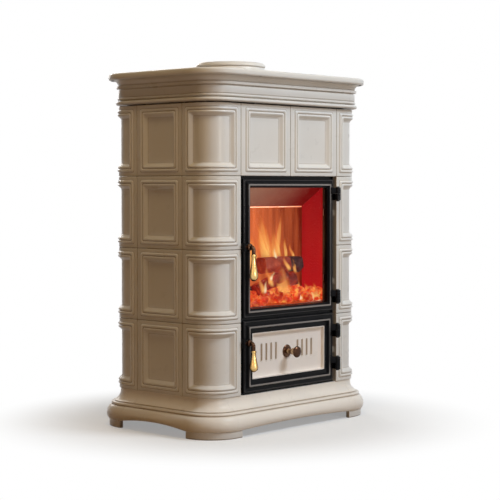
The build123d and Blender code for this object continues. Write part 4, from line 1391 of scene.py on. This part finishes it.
def door_rings(half, low, high, window_half, window_low, window_high, moulding):
    """Rings of a door from its outer back edge, over the mouldings, into the window and round."""

    def by_edge(inset, rise, radius):
        return (half - inset, low + inset, high - inset, radius, rise)

    def by_window(gap, rise):
        return (window_half + gap, window_low - gap, window_high + gap, 1.5 + gap * 0.12, rise)

    rings = [
        by_edge(0, door_back, 1.5),
        by_edge(0, -3.0, 1.5),
        by_edge(0.5, -1.2, 1.5),
        by_edge(1.6, -0.2, 2.0),
        by_edge(2.6, 0.0, 2.5),
        by_edge(3.4, 0.9, 3.0),
        by_edge(4.6, 1.3, 3.5),
        by_edge(5.8, 0.9, 4.0),
        by_edge(6.6, 0.0, 4.5),
        by_window(moulding + 8.6, 0.0),
        by_window(moulding + 8.3, 1.4),
        by_window(moulding + 6.7, 1.6),
    ]
    for step in range(13):
        angle = math.pi * step / 12
        rings.append(by_window(moulding + 6 * math.cos(angle), 1.6 + 5.2 * math.sin(angle)))
    rings += [
        by_window(moulding - 6.7, 1.6),
        by_window(moulding - 8.3, 1.4),
        by_window(moulding - 8.6, 0.2),
        by_window(0.8 if moulding > 12 else 0.3, 0.0),
        by_window(0.0, -0.8),
        by_window(0.0, door_back),
        by_window(rebate_width, door_back),
        by_window(rebate_width, tongue_back),
        by_edge(tongue_inset, tongue_back, 1.5),
        by_edge(tongue_inset, door_back, 1.5),
    ]
    spots, highlight_marks = [], []
    for ring_half, ring_low, ring_high, radius, rise in rings:
        middle = (ring_low + ring_high) / 2
        ring = rounded_ring(2 * ring_half, ring_high - ring_low, radius, 4, 4, 6)
        spots.append([(x, -wall_y - rise, z + middle) for x, z in ring])
        highlight_marks += [crown_highlight_at(rise, abs(z) > (ring_high - ring_low) / 2 - 6) for _, z in ring]
    verts, faces = hoop(spots)
    return verts, faces, highlight_marks


door_iron = metal(
    "door_iron", (0.002, 0.002, 0.003, 1), (0.004, 0.004, 0.006, 1), 0.16, 0.08, specular_ior_level=0.09
)
iron_tree = door_iron.node_tree
iron_shader = iron_tree.nodes["Principled BSDF"]
iron_colour = iron_shader.inputs["Base Color"].links[0].from_socket
# a lighter grey painted along the moulding crowns as a highlight
highlight_attr = iron_tree.nodes.new("ShaderNodeAttribute")
highlight_attr.attribute_name = "tone_mask"
iron_tree.links.new(
    blend_colours(iron_tree, highlight_attr.outputs["Fac"], iron_colour, (0.29, 0.27, 0.26, 1)),
    iron_shader.inputs["Base Color"],
)
upper_low, upper_high = 350, 770
lower_low, lower_high = 123, 343
hub_x = -197
# low and high edge, the window's half width, low and high edge, the moulding's distance from the
# window, the height of the handle's hub, and the heights of the hinges
doors = {
    "upper_door": (upper_low, upper_high, 183, 377.5, 742.5, 9, 565, (395, 723)),
    "lower_door": (lower_low, lower_high, 171, 163, 303, 18.5, 276, (181, 286)),
}
knuckle_bore, knuckle_radius, knuckle_groove, knuckle_height = 3.6, 9, 8.2, 20
knuckle_profile = eased(
    [
        (0.2, knuckle_bore),
        (0.2, knuckle_radius),
        (3.4, knuckle_radius),
        (4.2, knuckle_groove),
        (5.0, knuckle_radius),
        (15.2, knuckle_radius),
        (16, knuckle_groove),
        (16.8, knuckle_radius),
        (knuckle_height, knuckle_radius),
        (knuckle_height, knuckle_bore),
    ],
    0.8,
)
# levels over the hinge's foot, and how far the strap's corners draw in there
strap_levels = ((0.2, 0.8), (1.0, 0.0), (19.2, 0.0), (20.0, 0.8))
for door_name, (low, high, pane_half, pane_low, pane_high, gap, hub_z, hinges) in doors.items():
    door_verts, door_faces, door_highlight_marks = door_rings(
        door_half, low, high, pane_half, pane_low, pane_high, gap
    )
    make_piece(
        f"{door_name}_casting",
        door_verts,
        door_faces,
        door_iron,
        door_name,
        [door_name],
        "cast_iron",
        tone_mask=door_highlight_marks,
    )
    turned(
        f"{door_name}_boss",
        eased([(-0.5, 5.1), (-0.5, 12), (5.0, 12), (7.6, 10.4), (8, 8.5), (8, 5.1)], 1),
        (hub_x, -wall_y, hub_z),
        (0, -1, 0),
        door_iron,
        door_name,
        slot="cast_iron",
        steps=40,
    )
    for index, hinge_z in enumerate(hinges):
        turned(
            f"{door_name}_knuckle_{index + 1}",
            knuckle_profile,
            (hinge_x, hinge_y, hinge_z),
            (0, 0, 1),
            cast_iron,
            door_name,
            slot="cast_iron",
            steps=36,
        )
        strap = eased(
            [
                (hinge_x - 1, hinge_y - 8.2),
                (hinge_x - 5.5, hinge_y + 1),
                (hinge_x - 1.5, hinge_y + 9),
                (hinge_x - 1.5, -wall_y - 0.2),
                (hinge_x - 24, -wall_y - 0.2),
                (hinge_x - 24, -wall_y - 3),
            ],
            1.5,
        )
        strap_mid = Vector((hinge_x - 9, hinge_y + 9))
        strap_rings = []
        for level, ease in strap_levels:
            pulls = [(strap_mid - Vector(spot)).normalized() * ease for spot in strap]
            strap_rings.append(
                [(x + pull.x, y + pull.y, hinge_z + level) for (x, y), pull in zip(strap, pulls)]
            )
        make_piece(
            f"{door_name}_strap_{index + 1}",
            *stacked(strap_rings),
            cast_iron,
            door_name,
            slot="cast_iron",
        )

# ------------------------------------------------------------------ door glass and seals
# A clear ceramic pane held behind the fire door by eight sprung clips, and a braided rope of
# glass fibre pressed into a groove round the back of each door.

pane_finish, pane_tree, pane_shader = new_finish(
    "ceramic_glass",
    base_color=(0.98, 0.95, 0.92, 1),
    transmission_weight=1.0,
    roughness=0.0,
    ior=1.03,
    specular_ior_level=0.1,
)
smoke = mottle(pane_tree, 7, 4, 0, 0.04)
pane_tree.links.new(smoke, pane_shader.inputs["Roughness"])
dress("door_glass", pane_finish)
dress("glass_clips", pan_steel)

rope_finish, rope_tree, rope_shader = new_finish("glass_rope", roughness=0.95)
braid = rope_tree.nodes.new("ShaderNodeTexWave")
braid.inputs["Scale"].default_value = 180
braid.inputs["Distortion"].default_value = 1.5
rope_place = rope_tree.nodes.new("ShaderNodeTexCoord")
rope_tree.links.new(rope_place.outputs["Object"], braid.inputs["Vector"])
rope_tree.links.new(
    blend_colours(rope_tree, braid.outputs["Fac"], (0.05, 0.05, 0.05, 1), (0.16, 0.155, 0.15, 1)),
    rope_shader.inputs["Base Color"],
)
add_bump(rope_tree, rope_shader, braid.outputs["Fac"], 0.8, 0.0012)
dress("upper_door_seal", rope_finish)
dress("lower_door_seal", rope_finish)

# ------------------------------------------------------------------ handles
# Each door has a bronze lever that turns in its boss: a latch tongue behind, a round hub, and an
# arm that bends down into a turned, pear-shaped brass grip with a small bronze tip. A thin dark
# bronze strip down the grip's side paints the dark reflection on the polished brass.

bronze = metal(
    "dark_bronze",
    (0.045, 0.020, 0.013, 1),
    (0.10, 0.052, 0.030, 1),
    0.20,
    0.08,
    metallic=1.0,
)
brass = metal(
    "polished_brass",
    (0.60, 0.38, 0.13, 1),
    (0.74, 0.50, 0.21, 1),
    0.22,
    0.05,
    metallic=1.0,
)
handle_rise = 28
arm_bend = 10
arm_drop = 22
bend_steps = 10
# share of the grip's length from its foot, and radius
grip_shape = (
    (0.045, 4.0),
    (0.05, 6.8),
    (0.075, 9.4),
    (0.12, 11.2),
    (0.18, 12.2),
    (0.26, 12.1),
    (0.36, 11.0),
    (0.48, 9.3),
    (0.60, 7.8),
    (0.72, 6.7),
    (0.84, 6.1),
    (0.90, 6.1),
    (0.915, 6.9),
    (0.95, 7.2),
    (0.985, 6.9),
    (1.0, 5.9),
    (1.0, 0.0),
)
# the side of the grip that faces the camera's right, where the dark strip paints a reflection
reflection_side = Vector((0.675, -0.738, 0))
strip_half, strip_rise, strip_steps = 3.2, 1.5, 10


def dark_reflection_strip(name, foot, profile, body):
    """A thin dark strip laid along one side of a turned grip, painting a dark reflection on the brass."""
    across = reflection_side.cross(Vector((0, 0, 1))) * strip_half
    rings = []
    for along, radius in profile:
        if radius > 4.5:
            middle = Vector(foot) + reflection_side * (radius - 0.4) + Vector((0, 0, along))
            ring = []
            for step in range(strip_steps):
                angle = 2 * math.pi * step / strip_steps
                out = reflection_side * strip_rise * math.cos(angle) + across * math.sin(angle)
                ring.append(tuple(middle + out))
            rings.append(ring)
    make_piece(name, *stacked(rings), bronze, body, slot="bronze_arm", sharp=60)


def bent_rod(name, path, radii, finish, body, steps=20):
    """A round rod of changing thickness along a path, with rounded ends."""
    verts, faces = [], []
    spots = [Vector(spot) for spot in path]
    side = Vector((1, 0, 0))
    for index, spot in enumerate(spots):
        ahead = spots[min(index + 1, len(spots) - 1)] - spots[max(index - 1, 0)]
        other = ahead.normalized().cross(side)
        for step in range(steps):
            angle = 2 * math.pi * step / steps
            out = side * math.cos(angle) + other * math.sin(angle)
            verts.append(tuple(spot + out * radii[index]))
    for index in range(len(spots) - 1):
        faces += ring_faces(steps, index * steps, (index + 1) * steps)
    faces += [tuple(range(steps))[::-1], tuple(range(len(verts) - steps, len(verts)))]
    return make_piece(name, verts, faces, finish, body, slot="bronze_arm", sharp=50)


for which, grip_length in (("upper", 80), ("lower", 64)):
    body = f"{which}_handle"
    hub_z = doors[f"{which}_door"][6]
    hub_origin = (hub_x, -wall_y, hub_z)
    turned(
        f"{which}_hub",
        eased([(-11.5, 0), (-11.5, 5), (8.4, 5), (8.4, 11), (13, 11), (16, 10), (18.2, 7.5), (18.2, 0)], 1.2),
        hub_origin,
        (0, -1, 0),
        bronze,
        body,
        [f"{which}_handle"],
        "bronze_arm",
        40,
    )
    tongue = eased([(-4, -4), (-21.5, -3.6), (-21.5, 3.6), (-4, 4)], 1.4)
    tongue_rings = []
    for rise, ease in ((8.4, 0.5), (8.9, 0), (11.8, 0), (12.3, 0.5)):
        squeeze = 1 - ease / 6
        tongue_rings.append([(hub_x + x, -wall_y - rise, hub_z + z * squeeze) for x, z in tongue])
    make_piece(
        f"{which}_latch_tongue", *stacked(tongue_rings), bronze, body, slot="bronze_arm"
    )
    rises = [14, 16, handle_rise - arm_bend]
    arm_path = [(hub_x, -wall_y - rise, hub_z) for rise in rises]
    for step in range(1, bend_steps + 1):
        angle = math.radians(90 * step / bend_steps)
        arm_path.append(
            (
                hub_x,
                -wall_y - (handle_rise - arm_bend + arm_bend * math.sin(angle)),
                hub_z - arm_bend * (1 - math.cos(angle)),
            )
        )
    arm_path += [(hub_x, -wall_y - handle_rise, hub_z - drop) for drop in (14, 18, 22.5)]
    arm_radii = [7.6, 7.0, 6.3] + [6.0] * bend_steps + [5.9, 5.8, 5.7]
    bent_rod(f"{which}_arm", arm_path, arm_radii, bronze, body)
    grip_foot = (hub_x, -wall_y - handle_rise, hub_z - arm_drop - grip_length)
    grip_profile = [(0.0, 0.0)] + [(grip_length * part, radius) for part, radius in grip_shape]
    turned(
        f"{which}_grip",
        grip_profile,
        grip_foot,
        (0, 0, 1),
        brass,
        body,
        [f"{which}_handle_grip"],
        "brass_grip",
        40,
    )
    dark_reflection_strip(f"{which}_grip_dark_reflection", grip_foot, grip_profile, body)
    turned(
        f"{which}_grip_tip",
        [(0.1, 0.0), (0.2, 3.4), (1.2, 5.8), (3.0, 7.2), (4.6, 6.4), (5.0, 0.0)],
        grip_foot,
        (0, 0, 1),
        bronze,
        body,
        slot="bronze_arm",
        steps=32,
    )

# ------------------------------------------------------------------ air panel and slide
# A cream glazed plate set into the ash door, with eight upright slots whose sides get painted shade.
# A steel shutter slides behind it in two rails, moved by a turned knob of brass and dark bronze.

cream_glaze = glaze(
    "cream_glaze", (0.93, 0.87, 0.82, 1), (0.62, 0.50, 0.38, 1), (0.95, 0.91, 0.87, 1)
)
dress("air_panel", cream_glaze)
dress("air_shutter", pan_steel)
dress("shutter_guides", pan_steel)

slot_z = 240
panel_face = 12.0
slot_width, slot_height, slot_round = 7, 54, 3.5
slot_start, slot_pitch, slots_a_side = 51, 22.3, 4
slot_rim = [(0.0, 0.1), (0.5, 0.9), (1.3, 1.2), (2.1, 0.8), (2.6, 0.1)]
slot_spots = [
    (f"{side_name}_{index + 1}", side * (slot_start + slot_pitch * index))
    for side_name, side in (("left", -1), ("right", 1))
    for index in range(slots_a_side)
]
for slot_name, slot_x in slot_spots:
    rim_rings = []
    for out, rise in slot_rim:
        ring = rounded_ring(
            slot_width + 2 * out, slot_height + 2 * out, slot_round + out - 0.01, 1, 4, 8
        )
        rim_y = -wall_y + panel_face - rise
        rim_rings.append([(slot_x + x, rim_y, slot_z + z) for x, z in ring])
    rim_verts, rim_faces = hoop(rim_rings)
    make_piece(
        f"slot_rim_{slot_name}",
        rim_verts,
        rim_faces,
        cream_glaze,
        "lower_door",
        slot="enamel_panel",
        sharp=60,
        tone_mask=[0.0] * len(rim_verts),
    )

# tan strips, a shaded copy of the cream glaze, paint the shade on the right side of each slot
slot_shade_glaze = glaze(
    "slot_shade_glaze", (0.46, 0.34, 0.23, 1), (0.30, 0.19, 0.11, 1), (0.52, 0.40, 0.28, 1)
)
shade_left, shade_right, shade_half = 0.2, 3.4, 25.5
for slot_name, slot_x in slot_spots:
    shade_verts = []
    for depth, ease in ((15.4, 0), (13.6, 0), (13.0, 0.5)):
        left = slot_x + (shade_left + ease)
        right = slot_x + shade_right
        for x, z in ((left, -1), (right, -1), (right, 1), (left, 1)):
            shade_verts.append((x, -wall_y + depth, slot_z + z * shade_half))
    shade_faces = ring_faces(4, 0, 4) + ring_faces(4, 4, 8) + [(3, 2, 1, 0), (8, 9, 10, 11)]
    make_piece(
        f"slot_reveal_shade_{slot_name}",
        shade_verts,
        shade_faces,
        slot_shade_glaze,
        "lower_door",
        slot="enamel_panel",
        sharp=60,
        tone_mask=[0.0] * len(shade_verts),
    )

knob_z = 235
knob_origin = (0, -wall_y, knob_z)
turned(
    "knob_flange",
    eased(
        [
            (-15.9, 0),
            (-15.9, 5),
            (-11.7, 5),
            (-11.7, 20),
            (-10.4, 20),
            (-8.2, 17),
            (-7.7, 10),
            (-7.7, 0),
        ],
        0.8,
    ),
    knob_origin,
    (0, -1, 0),
    bronze,
    "air_slide",
    ["air_knob"],
    "brass_knob",
    56,
)
knob_brass = metal(
    "knob_brass", (0.40, 0.26, 0.14, 1), (0.62, 0.44, 0.27, 1), 0.28, 0.06, metallic=1.0
)
turned(
    "knob_stem",
    eased(
        [
            (-7.7, 0),
            (-7.7, 7.6),
            (-4, 7.8),
            (-2, 6.8),
            (4, 7),
            (10, 9),
            (17, 11.3),
            (22, 10.8),
            (26.5, 8),
            (26.9, 0),
        ],
        1,
    ),
    knob_origin,
    (0, -1, 0),
    knob_brass,
    "air_slide",
    slot="brass_knob",
    steps=56,
)
turned(
    "knob_cap",
    eased(
        [
            (27, 0),
            (27, 15.5),
            (28.2, 17.2),
            (30.6, 18),
            (33, 17),
            (35.2, 14.2),
            (36, 12.8),
            (36.6, 13),
            (37.4, 9),
            (38, 4),
            (38, 0),
        ],
        0.8,
    ),
    knob_origin,
    (0, -1, 0),
    bronze,
    "air_slide",
    slot="brass_knob",
    steps=56,
)

# ------------------------------------------------------------------ studio
# A pale floor that fades to white, a soft key lamp high in front and to the right, a low front
# lamp, a warm lamp over the left front corner, a weak warm fill from the left, and a soft lamp
# behind. The camera stands in front of the left corner.

floor_finish = bpy.data.materials.new("floor")
floor_finish.use_nodes = True
floor_tree = floor_finish.node_tree
floor_shader = floor_tree.nodes["Principled BSDF"]
floor_shader.inputs["Roughness"].default_value = 0.9
floor_shader.inputs["Specular IOR Level"].default_value = 0.1
floor_path = floor_tree.nodes.new("ShaderNodeLightPath")
pale_boards = blend_colours(
    floor_tree, mottle(floor_tree, 2, 3, 0, 1), (0.93, 0.93, 0.93, 1), (0.96, 0.96, 0.96, 1)
)
warm_bounce = (0.26, 0.155, 0.065, 1)
floor_tree.links.new(
    blend_colours(floor_tree, floor_path.outputs["Is Diffuse Ray"], pale_boards, warm_bounce),
    floor_shader.inputs["Base Color"],
)
white_glow = floor_tree.nodes.new("ShaderNodeEmission")
floor_place = floor_tree.nodes.new("ShaderNodeTexCoord")
floor_distance = floor_tree.nodes.new("ShaderNodeVectorMath")
floor_distance.operation = "LENGTH"
floor_tree.links.new(floor_place.outputs["Object"], floor_distance.inputs[0])
floor_fade = floor_tree.nodes.new("ShaderNodeMapRange")
floor_fade.interpolation_type = "SMOOTHSTEP"
floor_fade.inputs["From Min"].default_value = 0.38
floor_fade.inputs["From Max"].default_value = 0.85
floor_fade.inputs["To Min"].default_value = 0.3
floor_tree.links.new(floor_distance.outputs["Value"], floor_fade.inputs["Value"])


def seen_rays(tree):
    """1 for rays from the camera, a mirror or glass."""
    path = tree.nodes.new("ShaderNodeLightPath")
    seen = sum_up(
        tree, "MAXIMUM", path.outputs["Is Camera Ray"], path.outputs["Is Glossy Ray"]
    )
    return sum_up(tree, "MAXIMUM", seen, path.outputs["Is Transmission Ray"])


floor_mix = floor_tree.nodes.new("ShaderNodeMixShader")
floor_tree.links.new(
    sum_up(floor_tree, "MULTIPLY", floor_fade.outputs["Result"], seen_rays(floor_tree)),
    floor_mix.inputs["Fac"],
)
floor_tree.links.new(floor_shader.outputs["BSDF"], floor_mix.inputs[1])
floor_tree.links.new(white_glow.outputs["Emission"], floor_mix.inputs[2])
floor_tree.links.new(
    floor_mix.outputs["Shader"], floor_tree.nodes["Material Output"].inputs["Surface"]
)
floor_mesh = bpy.data.meshes.new("floor")
disc = bmesh.new()
bmesh.ops.create_circle(disc, cap_ends=True, segments=96, radius=9)
disc.to_mesh(floor_mesh)
disc.free()
floor_mesh.materials.append(floor_finish)
floor = bpy.data.objects.new("floor", floor_mesh)
bpy.context.scene.collection.objects.link(floor)

world = bpy.data.worlds.new("studio")
bpy.context.scene.world = world
world.use_nodes = True
world_tree = world.node_tree
soft_light = world_tree.nodes["Background"]
soft_light.inputs["Color"].default_value = (1.0, 0.64, 0.33, 1)
soft_light.inputs["Strength"].default_value = 0.030
white_back = world_tree.nodes.new("ShaderNodeBackground")
white_back.inputs["Color"].default_value = (1, 1, 1, 1)
white_back.inputs["Strength"].default_value = 1.0
world_mix = world_tree.nodes.new("ShaderNodeMixShader")
world_tree.links.new(seen_rays(world_tree), world_mix.inputs["Fac"])
world_tree.links.new(soft_light.outputs["Background"], world_mix.inputs[1])
world_tree.links.new(white_back.outputs["Background"], world_mix.inputs[2])
world_tree.links.new(
    world_mix.outputs["Shader"], world_tree.nodes["World Output"].inputs["Surface"]
)

stove_middle = Vector((0, 0, 0.6))
# name, place in metres, size in metres, power in watts, colour
lamps = (
    ("key_lamp", (0.95, -2.6, 3.1), 1.1, 76, (0.80, 0.90, 1.0)),
    ("front_lamp", (-0.2, -3.2, 0.75), 0.5, 20, (1.0, 0.95, 0.90)),
    ("top_lamp", (-0.95, -0.75, 2.7), 0.7, 11.5, (1.0, 0.76, 0.42)),
    ("warm_fill", (-3.2, -1.0, 1.3), 0.8, 6.5, (1.0, 0.50, 0.13)),
    ("back_lamp", (1.4, 3.4, 2.2), 2.2, 50, (1.0, 0.97, 0.94)),
)
for lamp_name, place, size, power, colour in lamps:
    lamp_light = bpy.data.lights.new(lamp_name, "AREA")
    lamp_light.size = size
    lamp_light.energy = power
    lamp_light.color = colour
    lamp = bpy.data.objects.new(lamp_name, lamp_light)
    lamp.location = place
    lamp.rotation_mode = "QUATERNION"
    lamp.rotation_quaternion = (stove_middle - Vector(place)).to_track_quat("-Z", "Y")
    bpy.context.scene.collection.objects.link(lamp)

# the camera's place, heading, pitch and lens come from the tile joints in the photograph
camera_data = bpy.data.cameras.new("camera")
camera_data.sensor_width = 36
camera_data.lens = 105.59
camera = bpy.data.objects.new("camera", camera_data)
camera.location = (-3.43603, -3.19606, 0.74637)
heading, pitch = math.radians(47.5436), math.radians(2.4775)
gaze = Vector(
    (
        math.sin(heading) * math.cos(pitch),
        math.cos(heading) * math.cos(pitch),
        -math.sin(pitch),
    )
)
camera.rotation_mode = "QUATERNION"
camera.rotation_quaternion = gaze.to_track_quat("-Z", "Y")
bpy.context.scene.collection.objects.link(camera)
bpy.context.scene.camera = camera
bpy.context.scene.view_settings.view_transform = "Standard"
